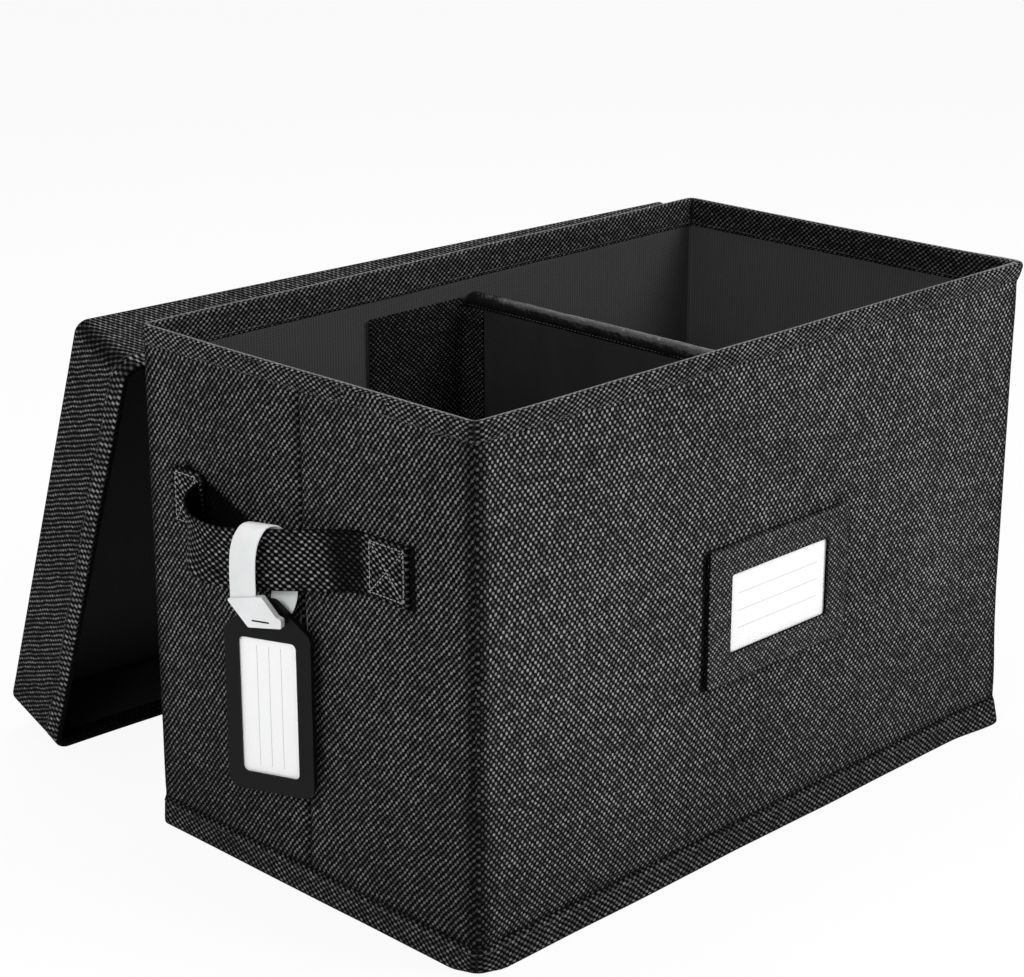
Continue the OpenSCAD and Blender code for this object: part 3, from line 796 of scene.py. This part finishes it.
def hem_tone(off, z, n):
    # painted shade round the corners and along the hem's top edge where it meets the wall; the rest
    # of the hem is darker too
    return corner_shade(n) * (0.3 if z > 20 * mm else 0.62)


ring_sweep("foot_hem", HEM_PROFILE, L / 2, W / 2, R, 6 * mm, 0.0, weave_hem, "case",
           ("bottom_hem",), hem_wave, hem_tone)


def ring_line(hx, hy, r, off, z, out=1.0):
    """Stitch line round a rounded rectangle, facing out or, with -1, in."""
    pos, nor, _ = full_ring(hx, hy, r, 4 * mm)
    pos, nor = np.concatenate([pos, pos[:1]]), np.concatenate([nor, nor[:1]])
    return (np.column_stack([pos + nor * off, np.full(len(pos), z)]),
            np.column_stack([nor * out, np.zeros(len(pos))]))


stitches("case_stitches", [ring_line(L / 2, W / 2, R, 1.0 * mm, H - 11.3 * mm),
                           ring_line(L / 2, W / 2, R, -5.85 * mm, H - 19.5 * mm, -1.0),
                           ring_line(L / 2, W / 2, R, 1.35 * mm, 17.5 * mm)], "case", "hem")

# ---------------------------------------------------------------- lining and foot

IN_L, IN_W = 575.6 * mm, 323.6 * mm
LAID = turn(90, "X")


def lining_ring(name, hx, hy, r, rows, back_rows, thick, slack, place, mat, body, slot, node):
    """Thin lining inside the walls: rows up its face, back_rows down its back, thick apart.

    slack is the scale, height and seed of its unevenness.
    """
    pos, nor, d = full_ring(hx, hy, r, 9 * mm)
    prof = [(0.0, z) for z in rows] + [(thick, z) for z in back_rows]
    grid, uv = np.zeros((len(d), len(prof), 3)), np.zeros((len(d), len(prof), 2))
    for i in range(len(d)):
        for j, (off, z) in enumerate(prof):
            if off == 0:
                off = min(0.0, wob((pos[i][0], pos[i][1], z), *slack))
            grid[i, j] = (pos[i][0] + nor[i][0] * off, pos[i][1] + nor[i][1] * off, z)
            uv[i, j] = (d[i], z)
    return swept(name, placed(grid, place), uv, None, mat=mat, body=body, slot=slot,
                 replaced=(node,))


lining_z = np.linspace(2.4 * mm, H - 15 * mm, 34)
lining_ring("wall_lining_cloth", IN_L / 2, IN_W / 2, 3 * mm, lining_z, lining_z[::-1], 0.55 * mm,
            (11.0, 0.7 * mm, 6.0), Matrix.Identity(4), lining_mat, "case", "lining", "wall_lining")
card("floor_lining", IN_L - 0.6 * mm, IN_W - 0.6 * mm, 0.5 * mm, move(0, 0, 1.7 * mm) @ LAID,
     lining_mat, "case", "wall_lining", r=3 * mm, slot="lining")
card("foot_cloth", L - 6 * mm, W - 6 * mm, 1.05 * mm, move(0, 0, 0.63 * mm) @ LAID,
     weave_wall, "case", "bottom_cover", r=24 * mm, slot="woven")
soft_box("base_board_cloth", (-286.0 * mm, -160.0 * mm, 1.8 * mm),
         (286.0 * mm, 160.0 * mm, 6.0 * mm), 1.3 * mm, 20 * mm, "base_board", "lining", base_mat,
         ("base_board_cover",), amp=0.15 * mm)

# ---------------------------------------------------------------- divider

DX, DY, DTOP = 20 * mm, 160.3 * mm, 350 * mm  # its middle, half its depth, its top
HALF_T = 4 * mm
soft_box("divider_cloth", (DX - HALF_T, -DY + 1.2 * mm, 6 * mm),
         (DX + HALF_T, DY - 1.2 * mm, DTOP - 3 * mm), 3.2 * mm, 12 * mm, "divider",
         "divider_cloth", divider_mat, ("divider_cover",), amp=0.5 * mm, uvaxes=(1, 2), seed=2.2)


def build_binding():
    """Shiny tape folded over the top edge and down both upright edges."""
    r = 9 * mm
    y0, z1, z0 = DY - 1.3 * mm, DTOP - 1.0 * mm, 8 * mm
    bends = [math.radians(90 * k / 8) for k in range(1, 8)]
    path = [(y0, z) for z in np.linspace(z0, z1 - r, 26)]
    path += [(y0 - r + r * math.cos(f), z1 - r + r * math.sin(f)) for f in bends]
    path += [(y, z1) for y in np.linspace(y0 - r, -y0 + r, 62)]
    path += [(-y0 + r - r * math.sin(f), z1 - r + r * math.cos(f)) for f in bends]
    path += [(-y0, z) for z in np.linspace(z1 - r, z0, 26)]
    path = np.array(path)
    t = tangents(path)
    out = np.column_stack([t[:, 1], -t[:, 0]])
    # across the edge, and out from it, in millimetres
    fold = [(-4.9, -10.5), (-4.95, -6), (-4.8, -2.6), (-3.7, -0.6), (-1.6, 0.6), (0, 0.9),
            (1.6, 0.6), (3.7, -0.6), (4.8, -2.6), (4.95, -6), (4.9, -10.5), (4.0, -10.8),
            (3.9, -6), (3.2, -2.4), (0, -0.6), (-3.2, -2.4), (-3.9, -6), (-4.0, -10.8)]
    d = along(path)
    grid, uv = np.zeros((len(path), len(fold), 3)), np.zeros((len(path), len(fold), 2))
    for i, p in enumerate(path):
        for j, (x, o) in enumerate(fold):
            q = np.array([x * mm, p[0] + out[i][0] * o * mm, p[1] + out[i][1] * o * mm])
            w = wob(q, 60.0, 0.35 * mm, 5.0) + wob(q, 22.0, 0.4 * mm, 8.0)
            if abs(x) > 3:
                q[0] += math.copysign(1, x) * w
            else:
                q[2] += min(w, 0.1 * mm)
            grid[i, j] = (q[0] + DX, q[1], q[2])
            uv[i, j] = (d[i], j * mm)
    return swept("divider_binding_tape", grid, uv, None, ends=True, mat=binding_mat,
                 body="divider", slot="binding", replaced=("divider_binding",))


build_binding()
seam_y = np.linspace(-DY + 6 * mm, DY - 6 * mm, 60)
seams = [([(DX + sx * 4.95 * mm, y, DTOP - 10.2 * mm) for y in seam_y], [(sx, 0, 0)] * 60)
         for sx in (-1, 1)]
stitches("divider_stitches", seams, "divider", "binding", 3.6 * mm, 2.6 * mm, 0.3 * mm)

FLAP_Z0, FLAP_Z1 = 30 * mm, 345 * mm
FLAP_W, FLAP_SEWN = 122 * mm, 22 * mm  # laid flat, and the part turned onto the divider


def build_flap(sign, node):
    """Cloth flap along the wall, bent square where it is sewn to the divider's face."""
    x1, y1 = DX - HALF_T, DY - 1.0 * mm
    bend = [(0.6, FLAP_SEWN / mm), (0.6, 12), (0.7, 5), (1.6, 1.9), (4.5, 0.75)]
    path = [(x1 - a * mm, y1 - b * mm) for a, b in bend]
    path += [(x, y1 - 0.7 * mm) for x in np.linspace(x1 - 9 * mm, x1 - (FLAP_W - FLAP_SEWN), 22)]
    path = np.array(path)
    t = tangents(path)
    nrm = np.column_stack([t[:, 1], -t[:, 0]])
    d = along(path)
    zs = np.linspace(FLAP_Z0, FLAP_Z1, 42)
    ni, nj = len(path), len(zs)
    faces = np.zeros((2, ni, nj, 3))
    uv, tone = np.zeros((ni, nj, 2)), np.ones((ni, nj))
    for i, p in enumerate(path):
        for j, z in enumerate(zs):
            top = min(z, FLAP_Z1 - 8 * mm) if i < 4 else z
            slack = -abs(wob((p[0], p[1], top), 25.0, 0.9 * mm, 3.3 * sign))
            slack *= smoothstep(d[i], 20 * mm, 40 * mm)
            for face, o in zip(faces, (0.55 * mm, -0.55 * mm)):
                face[i, j] = (p[0] + nrm[i][0] * o, sign * (p[1] + nrm[i][1] * o + slack), top)
            uv[i, j] = (d[i], z)
            edge = min(d[-1] - d[i], FLAP_Z1 - z, z - FLAP_Z0)
            tone[i, j] = 0.6 + 0.4 * smoothstep(edge, 0, 5 * mm)
    ob = shell(node + "_cloth", faces[0], faces[1], uv, tone, mat=weave_flap, body="divider",
               slot="flap_cloth", replaced=(node,))
    return ob


build_flap(1, "divider_back_flap")
build_flap(-1, "divider_front_flap")

# two strips at each end of the divider: hooks on the flaps, loops on the walls behind them
for node, body, y0, y1 in (("divider_hook_strips", "divider", 159.35, 160.25),
                           ("wall_loop_strips", "case", 160.62, 161.7)):
    for k, (z, s) in enumerate(((90, -1), (90, 1), (250, -1), (250, 1))):
        lo, hi = sorted((s * y0, s * y1))
        soft_box("%s_tape_%d" % (node, k), (-79 * mm, lo * mm, z * mm),
                 (11 * mm, hi * mm, (z + 30) * mm), 0.35 * mm, 8 * mm, body, "hook_tape",
                 tape_mat, (node,), amp=0.1 * mm, uvaxes=(0, 2), seed=k)

# ---------------------------------------------------------------- label pocket


def build_label_frame():
    outer = rect_ring(156 * mm, 104 * mm, 3.5 * mm, per=16)
    inner = rect_ring(105 * mm, 58 * mm, 2.0 * mm, per=16)
    # share of the way in, and height over the wall in millimetres
    sec = [(0.0, 0.2), (0.0, 1.4), (0.02, 2.3), (0.07, 2.75), (0.14, 2.6), (0.22, 2.75),
           (0.4, 2.85), (0.6, 2.85), (0.78, 2.8), (0.86, 2.65), (0.93, 2.8), (0.98, 2.6),
           (1.0, 2.1), (1.0, 1.75), (0.95, 1.65), (0.5, 1.65), (0.1, 1.65), (0.05, 0.2)]
    under = 1.65  # the side that the card slides behind
    ni, nj = len(outer), len(sec)
    grid, uv, tone = np.zeros((ni, nj, 3)), np.zeros((ni, nj, 2)), np.ones((ni, nj))
    for i in range(ni):
        left = smoothstep(-outer[i][0], 76.5 * mm, 77.5 * mm)
        for j, (f, h) in enumerate(sec):
            p = outer[i] * (1 - f) + inner[i] * f
            rise = h
            if left > 0 and f < 0.12 and h < 2:
                rise = h * (1 - left) + under * left
            q = np.array([p[0] + LX, FRONT_Y - rise * mm, p[1] + LZ])
            if h > 1.7:
                q[1] -= wob(q, 28.0, 0.35 * mm, 2.0)
            grid[i, j], uv[i, j] = q, p
            # painted shadow along the window's right edge, painted shade on the window's inner edge
            # and on the frame's outer edge, near black at its open left side
            shadow = smoothstep(inner[i][0], 51 * mm, 52.4 * mm) * smoothstep(f, 0.9, 0.95)
            face = (0.15 if f > 0.97 else 0.92) * (1 - 0.95 * shadow)
            tone[i, j] = 0.3 - 0.28 * left if f < 0.03 else face
    return swept("label_pocket_frame", grid, uv, tone, mat=weave_label, body="case",
                 slot="pocket_cloth", replaced=("label_frame",))


build_label_frame()


def rect_line(w, h, r, off, gap_left=False):
    """Stitch line round the pocket, with the left side left open if gap_left is set."""
    p = rect_ring(w, h, r, per=20)
    if gap_left:
        keep = [k for k in range(len(p)) if p[k][0] > -w / 2 + 1 * mm]
        start = max(range(len(keep)), key=lambda k: (keep[k] - keep[k - 1]) % len(p))
        p = p[keep[start:] + keep[:start]]
    else:
        p = np.concatenate([p, p[:1]])
    pts = np.column_stack([p[:, 0] + LX, np.full(len(p), FRONT_Y - off), p[:, 1] + LZ])
    return pts, np.tile([0, -1, 0], (len(p), 1))


stitches("label_stitches", [rect_line(149 * mm, 97 * mm, 2.5 * mm, 2.75 * mm, True),
                            rect_line(111 * mm, 64 * mm, 4.5 * mm, 2.8 * mm)],
         "case", "pocket_cloth", 3.4 * mm, 2.5 * mm, 0.3 * mm)
card("label_card_sheet", CARD_W, CARD_H, 0.5 * mm, move(LX, FRONT_Y - 0.65 * mm, LZ),
     label_paper, "label_card", "label_card")

# ---------------------------------------------------------------- strap handles

HZ = 257  # height of the strap's middle, millimetres as all of this section
# out from the end wall, towards the back, up from HZ
ROUTE = [(1.2, 132, 8), (1.2, 118, 7.9), (1.2, 104, 7.8), (4.2, 99.5, 5.8), (11, 96.4, 3.9),
         (19, 93, 1.8), (26, 87.5, -1.6), (31, 79, -5.8), (33, 67.5, -8.8), (32, 53, -9.4),
         (29, 38, -8.3), (24.8, 22, -6.1), (19.6, 6, -3.9), (14, -10, -1.4), (9, -26, 1.3),
         (5, -42, 4.2), (2.4, -56, 6.6), (1.2, -66, 7.4), (1.2, -86, 7.7), (1.2, -106, 8)]
STRAP_HALF_W, STRAP_HALF_T = 21.5, 1.2
BOXES = ((107, 129, HZ + 7.9), (-103, -71, HZ + 7.7))  # boxed stitch: from, to, middle height
BOX_HALF = 17.5
OTHER_END = np.array([-1, -1, 1])


def strap(name, node, other_end):
    c = catmull(ROUTE, 4)
    pts = np.column_stack([-L / 2 - c[:, 0] * mm, c[:, 1] * mm, (HZ + c[:, 2]) * mm])
    t = tangents(pts)
    across = np.array([0, 0, 1.0])
    hw, ht = STRAP_HALF_W, STRAP_HALF_T
    face = [(-hw + 0.6 + (2 * hw - 1.2) * k / 12, ht) for k in range(13)]
    side = [(hw - 0.15, ht * 0.6), (hw, 0), (hw - 0.15, -ht * 0.6)]
    sec = face + side
    sec += [(-a, -b) for a, b in sec]
    d = along(pts)
    ni, nj = len(pts), len(sec)
    grid, uv, tone = np.zeros((ni, nj, 3)), np.zeros((ni, nj, 2)), np.ones((ni, nj))
    for i in range(ni):
        w = across - t[i] * (across @ t[i])
        w /= np.linalg.norm(w)
        n = np.cross(t[i], w)
        end = min(d[i], d[-1] - d[i])
        bend = smoothstep(end, 30 * mm, 60 * mm)
        folded = 1 - smoothstep(end, 26 * mm, 30 * mm)  # the sewn ends are of two layers
        front = -c[i, 1]
        # painted shade where the strap turns in to the wall near its front end, and on its inner
        # face where it stands off the wall; it is also darker along its edges and ends
        turn_shade = 0.88 * smoothstep(front, 26, 42) * (1 - smoothstep(front, 62, 68))
        for j, (a, b) in enumerate(sec):
            cup = -1.2 * bend * (1 - (a / hw) ** 2)
            thick = 1.0 + 0.25 * folded * (b > 0)
            q = pts[i] + w * a * mm + n * (b * thick + cup) * mm
            grid[i, j] = q + n * wob(q, 40.0, 0.5 * mm, 4.0) * bend
            uv[i, j] = (d[i], a * mm)
            shade = turn_shade if b >= 0 else max(turn_shade, 0.97 * smoothstep(c[i, 0], 3, 6))
            edge = smoothstep(min(hw - abs(a), end / mm - 1), 0, 2.5)
            tone[i, j] = (0.35 + 0.65 * edge) * (1 - shade)
    flip = OTHER_END if other_end else 1
    swept(name, grid * flip, uv, tone, ends=True, mat=weave_strap, body="case", slot="strap",
          replaced=(node,))
    lines = []
    for y0, y1, z in BOXES:
        low, high = z - BOX_HALF, z + BOX_HALF
        box = [(y0, low), (y1, low), (y1, high), (y0, high), (y0, low)]
        for run in (box, [box[0], box[2]], [box[1], box[3]]):
            line = np.array([(-L / 2 - 2.75 * mm, y * mm, h * mm) for y, h in run])
            lines.append((line * flip, np.tile([-1.0, 0, 0], (len(run), 1)) * flip))
    stitches(name + "_stitches", lines, "case", "strap", 3.3 * mm, 2.7 * mm, 0.42 * mm,
             light_thread)


strap("left_strap_handle", "left_handle", False)
strap("right_strap_handle", "right_handle", True)

# ---------------------------------------------------------------- tag

TAG = move(-315 * mm, 8.5 * mm, 0) @ turn(22, "Z")
HANG, ARC = 212.8, 266.0  # heights of the loop in the tag's slot, and where it turns over
LOOP = [(-8, 13.7, HANG + 12.3), (-8, 13.7, 234.6), (-7.8, 13.7, 246.8), (-7.4, 13.2, 257.5),
        (-6.4, 11.8, ARC), (-4.6, 9.8, ARC + 5.8), (-2.4, 7.4, ARC + 9.98),
        (0.6, 4.4, ARC + 11.6), (4, 1, ARC + 10.67), (7.2, -2, ARC + 5.34), (9.4, -4.2, 263.9),
        (10.8, -5.8, 254.8), (11.4, -7, 243.1), (11.2, -7.6, 232), (10.2, -7, 222.9),
        (7.7, -5, HANG + 3), (4.2, -2, HANG), (-2, 0, HANG), (-5.5, 1, HANG)]
LOOP_HALF_W, LOOP_HALF_T = 9.75, 0.5


def build_loop():
    c = catmull(LOOP, 6) * mm
    t = tangents(c)
    hw, ht = LOOP_HALF_W, LOOP_HALF_T
    half = [(-hw, 0), (-hw + 0.2, 0.42), (-hw + 0.9, ht), (-4, ht), (0, ht), (4, ht),
            (hw - 0.9, ht), (hw - 0.2, 0.42)]
    sec = half + [(-a, -b) for a, b in half]
    grid, uv = np.zeros((len(c), len(sec), 3)), np.zeros((len(c), len(sec), 2))
    for i in range(len(c)):
        n = np.cross(t[i], [0, 1.0, 0])
        n /= np.linalg.norm(n)
        for j, (a, b) in enumerate(sec):
            grid[i, j] = c[i] + np.array([0, a * mm, 0]) + n * b * mm
            uv[i, j] = (i * mm, a * mm)
    return swept("loop_strap_band", placed(grid, TAG), uv, None, ends=True, mat=loop_mat,
                 body="tag_loop", slot="loop_plastic", replaced=("tag_loop_strap",))


build_loop()

for name, mat in (("tag_frame", tag_mat), ("tag_buckle", loop_mat)):
    ob = nodes[name]
    ob.data.materials.clear()
    ob.data.materials.append(mat)
    bevel = ob.modifiers.new("edge", "BEVEL")
    bevel.width = 0.7 * mm
    bevel.segments = 3
    bevel.limit_method = "ANGLE"
    bevel.angle_limit = math.radians(50)
    for p in ob.data.polygons:
        p.use_smooth = True

# painted shade: the faces inside the buckle's slit take the dark tag plastic
buckle = nodes["tag_buckle"]
buckle.data.materials.append(tag_mat)
to_tag = TAG.inverted() @ buckle.matrix_world
for p in buckle.data.polygons:
    q = to_tag @ p.center
    if abs(q.y) < 6.7 * mm and abs(q.z - (HANG + 0.5) * mm) < 0.75 * mm:
        p.material_index = 1

card("tag_card_sheet", 48 * mm, 105 * mm, 0.5 * mm,
     TAG @ move(-0.15 * mm, 0, 147.6 * mm) @ turn(-90, "Z"), tag_paper, "tag_card", "tag_card")

# ---------------------------------------------------------------- lid

LL, LW, LH = 608 * mm, 364 * mm, 66 * mm  # length, width, height
LR, LID_RIM_R = 10 * mm, 14 * mm  # corner radius at the panel and at the rim
LEAN, LID_TURN = 20.8, -3
LEAN_RAD = math.radians(LEAN)
LID = (move(27 * mm, 309.37 * mm, 0) @ turn(LID_TURN, "Z")
       @ move(0, LH * math.cos(LEAN_RAD), LH * math.sin(LEAN_RAD))
       @ turn(90 + LEAN, "X") @ move(0, LW / 2, 0))
# the lid stands with its front skirt up
LID_NODE = {"front": "lid_back_skirt", "back": "lid_front_skirt",
            "left": "lid_left_skirt", "right": "lid_right_skirt"}


def build_lid_wall(side):
    _, nor, s = wall_path(side, LL / 2, LW / 2, LR, 6 * mm)
    # off the side face, and depth from the panel; the cloth turns over the edge onto the panel
    prof = [(-5.0, 0.0), (-3.0, 0.05), (-1.6, 0.35), (-0.6, 1.0), (-0.1, 2.2), (0, 4.0)]
    prof += [(0.0, w) for w in [*np.linspace(7, 50, 12), 53.0, 56, 60, 64.6]]
    prof = np.array(prof) * mm
    arc = along(prof)
    ni, nj = len(s), len(prof)
    outer, inner = np.zeros((ni, nj, 3)), np.zeros((ni, nj, 3))
    uv, tone = np.zeros((ni, nj, 2)), np.ones((ni, nj))
    half = abs(s[0])
    rows = [wall_path(side, LL / 2, LW / 2, LR + (LID_RIM_R - LR) * w / LH, 6 * mm)[0]
            for _, w in prof]
    for i in range(ni):
        n = np.array([nor[i][0], nor[i][1], 0])
        end = half - abs(s[i])
        for j, (off, w) in enumerate(prof):
            p = np.array([rows[j][i][0], rows[j][i][1], w])
            d = wob(p, 12.0, 1.0 * mm, 5.5) + wob(p, 35.0, 0.3 * mm, 1.1)
            d *= smoothstep(w, 0, 20 * mm) * (1 - smoothstep(w, 50 * mm, LH))
            d += (1 - smoothstep(end, 6 * mm, 30 * mm)) * max(0.1 * mm - d, 0)
            outer[i, j] = p + n * (off + d)
            turned = 0.0 if w > 4 * mm else 1.0
            inner[i, j] = p + n * (off + min(d, 0) - CLOTH * (1 - turned * 0.3))
            inner[i, j, 2] += CLOTH * turned
            uv[i, j] = (s[i], arc[j])
            # painted shade: darker at the lid's corners
            tone[i, j] = 0.3 + 0.7 * smoothstep(end, 2 * mm, 9 * mm)
    return shell("lid_" + side + "_wall_cloth", placed(outer, LID), placed(inner, LID), uv, tone,
                 mat=weave_skirt, body="lid", slot="woven", replaced=(LID_NODE[side],))


for side in SIDES:
    build_lid_wall(side)


def build_lid_top():
    nx, ny = 72, 44
    hx, hy, r = LL / 2 - 4.6 * mm, LW / 2 - 4.6 * mm, 4 * mm
    outer, inner = np.zeros((nx, ny, 3)), np.zeros((nx, ny, 3))
    uv = np.zeros((nx, ny, 2))
    for i in range(nx):
        for j in range(ny):
            x, y = -hx + 2 * hx * i / (nx - 1), -hy + 2 * hy * j / (ny - 1)
            d = 1.4 * mm + wob((x, y, 0), 8.0, 1.2 * mm, 2.9) + wob((x, y, 0), 26.0, 0.35 * mm, 4.9)
            d *= smoothstep(min(hx - abs(x), hy - abs(y)), 0, 60 * mm)
            cx, cy = abs(x) - (hx - r), abs(y) - (hy - r)
            if cx > 0 and cy > 0:
                k = r / max(math.hypot(cx, cy), r)
                x = math.copysign(hx - r + cx * k, x)
                y = math.copysign(hy - r + cy * k, y)
            outer[i, j] = (x, y, -max(d, 0))
            inner[i, j] = (x, y, CLOTH)
            uv[i, j] = (x, y)
    return shell("lid_top_cloth", placed(outer, LID), placed(inner, LID), uv, None,
                 mat=weave_wall, body="lid", slot="woven", replaced=("lid_top_cover",))


build_lid_top()

LID_RIM_PROFILE = np.array([
    (-0.2, 49.5), (0.25, 50.6), (0.45, 54), (0.45, 63), (0.4, 65.2), (0.0, 66.0), (-1.4, 66.3),
    (-3.4, 66.3), (-4.8, 66.0), (-5.5, 64.8), (-5.6, 62), (-5.6, 56), (-5.3, 54.2), (-4.7, 53.8),
    (-4.3, 56), (-4.2, 62), (-3.0, 64.6), (-1.4, 64.6), (-0.6, 62), (-0.5, 51.5)]) * mm


def lid_rim_wave(p, off, z, q):
    return wob(p, 13.0, 0.5 * mm, 2.3), 0.0


def lid_rim_tone(off, z, n):
    """The hem band outside keeps its tone; painted shade darkens its lower turned edge and the
    corners, and the inside is dark.
    """
    if off < -1 * mm:
        return 0.02
    return corner_shade(n) * (0.35 if z < 52 * mm else 0.95)


ring_sweep("lid_rim_band", LID_RIM_PROFILE, LL / 2, LW / 2, LID_RIM_R, 7 * mm, 0.0,
           weave_lid_band, "lid", ("lid_rim_facing",), lid_rim_wave, lid_rim_tone, LID)
pts, nrm = ring_line(LL / 2, LW / 2, LID_RIM_R, 0.5 * mm, 52.6 * mm)
stitches("lid_stitches", [(placed(pts, LID), nrm @ np.array(LID)[:3, :3].T)], "lid", "hem")

lining_ring("lid_lining_wall", LL / 2 - 4.2 * mm, LW / 2 - 4.2 * mm, 9.5 * mm,
            np.linspace(4.3, 60, 9) * mm, np.linspace(60, 4.3, 5) * mm, 0.5 * mm,
            (14.0, 0.6 * mm, 6.6), LID, lid_lining_mat, "lid", "lid_lining", "lid_lining")
panel_x, panel_y = LL / 2 - 4.3 * mm, LW / 2 - 4.3 * mm
soft_box("lid_lining_panel", (-panel_x, -panel_y, 3.65 * mm), (panel_x, panel_y, 4.2 * mm),
         0.2 * mm, 20 * mm, "lid", "lid_lining", lid_lining_mat, ("lid_lining",), amp=0.25 * mm,
         place=LID)

# ---------------------------------------------------------------- what stays from the solids

for name, ob in nodes.items():
    board = name.endswith("_board") or "_board_" in name and not name.endswith("cover")
    window = name in ("label_window", "tag_window")
    if board or window:
        ob.data.materials.clear()
        ob.data.materials.append(film_mat if window else board_mat)

# ---------------------------------------------------------------- floor, world and lamps

FLOOR_HALF, FLOOR_Z = 9, -0.6 * mm
WHITE = (1, 1, 1, 1)


def seen_share(tree, share=1.0):
    """share for rays from the camera and off or through a glossy surface, 0 for the others."""
    ray = tree.nodes.new("ShaderNodeLightPath")
    total = ray.outputs["Is Camera Ray"]
    for kind in ("Is Glossy Ray", "Is Transmission Ray"):
        both = tree.nodes.new("ShaderNodeMath")
        both.operation = "MAXIMUM"
        tree.links.new(total, both.inputs[0])
        tree.links.new(ray.outputs[kind], both.inputs[1])
        total = both.outputs[0]
    scaled = tree.nodes.new("ShaderNodeMath")
    scaled.operation = "MULTIPLY"
    tree.links.new(total, scaled.inputs[0])
    scaled.inputs[1].default_value = share
    return scaled.outputs[0]


def lit(tree, kind, colour, strength=None):
    """A background, emission or diffuse shader of one colour."""
    n = tree.nodes.new(kind)
    n.inputs[0].default_value = colour
    if strength is not None:
        n.inputs[1].default_value = strength
    return n.outputs[0]


def blend_of(owner, output, share, plain, seen):
    """Node tree with one shader for light, and another where the camera sees it."""
    owner.use_nodes = True
    tree = owner.node_tree
    tree.nodes.clear()
    out = tree.nodes.new(output)
    mix = tree.nodes.new("ShaderNodeMixShader")
    tree.links.new(seen_share(tree, share), mix.inputs[0])
    tree.links.new(lit(tree, *plain), mix.inputs[1])
    tree.links.new(lit(tree, *seen), mix.inputs[2])
    tree.links.new(mix.outputs[0], out.inputs[0])


floor_me = bpy.data.meshes.new("floor")
floor_me.from_pydata([(x * FLOOR_HALF, y * FLOOR_HALF, FLOOR_Z)
                      for x, y in ((-1, -1), (1, -1), (1, 1), (-1, 1))], [], [(0, 1, 2, 3)])
floor = bpy.data.objects.new("floor", floor_me)
scene.collection.objects.link(floor)
floor_mat = bpy.data.materials.new("floor")
blend_of(floor_mat, "ShaderNodeOutputMaterial", 0.92,
         ("ShaderNodeBsdfDiffuse", (0.86, 0.86, 0.86, 1)), ("ShaderNodeEmission", WHITE, 1.0))
floor_me.materials.append(floor_mat)

scene.world = bpy.data.worlds.new("world")
blend_of(scene.world, "ShaderNodeOutputWorld", 1.0,
         ("ShaderNodeBackground", WHITE, 0.25), ("ShaderNodeBackground", WHITE, 1.0))


def lamp(name, at, size, power):
    """Area lamp of size (width, height) at a place, pointed at the case."""
    data = bpy.data.lights.new(name, "AREA")
    data.shape = "RECTANGLE"
    data.size, data.size_y = size
    data.energy = power
    ob = bpy.data.objects.new(name, data)
    scene.collection.objects.link(ob)
    ob.location = at
    ob.rotation_euler = (Vector((0, 0, 0.2)) - Vector(at)).to_track_quat("-Z", "Y").to_euler()


lamp("key", (1.4, -2.6, 2.6), (1.8, 1.4), 92)
lamp("side", (-2.8, -0.9, 1.8), (1.4, 1.4), 52)
lamp("top", (0.2, 0.6, 3.0), (1.6, 1.6), 38)
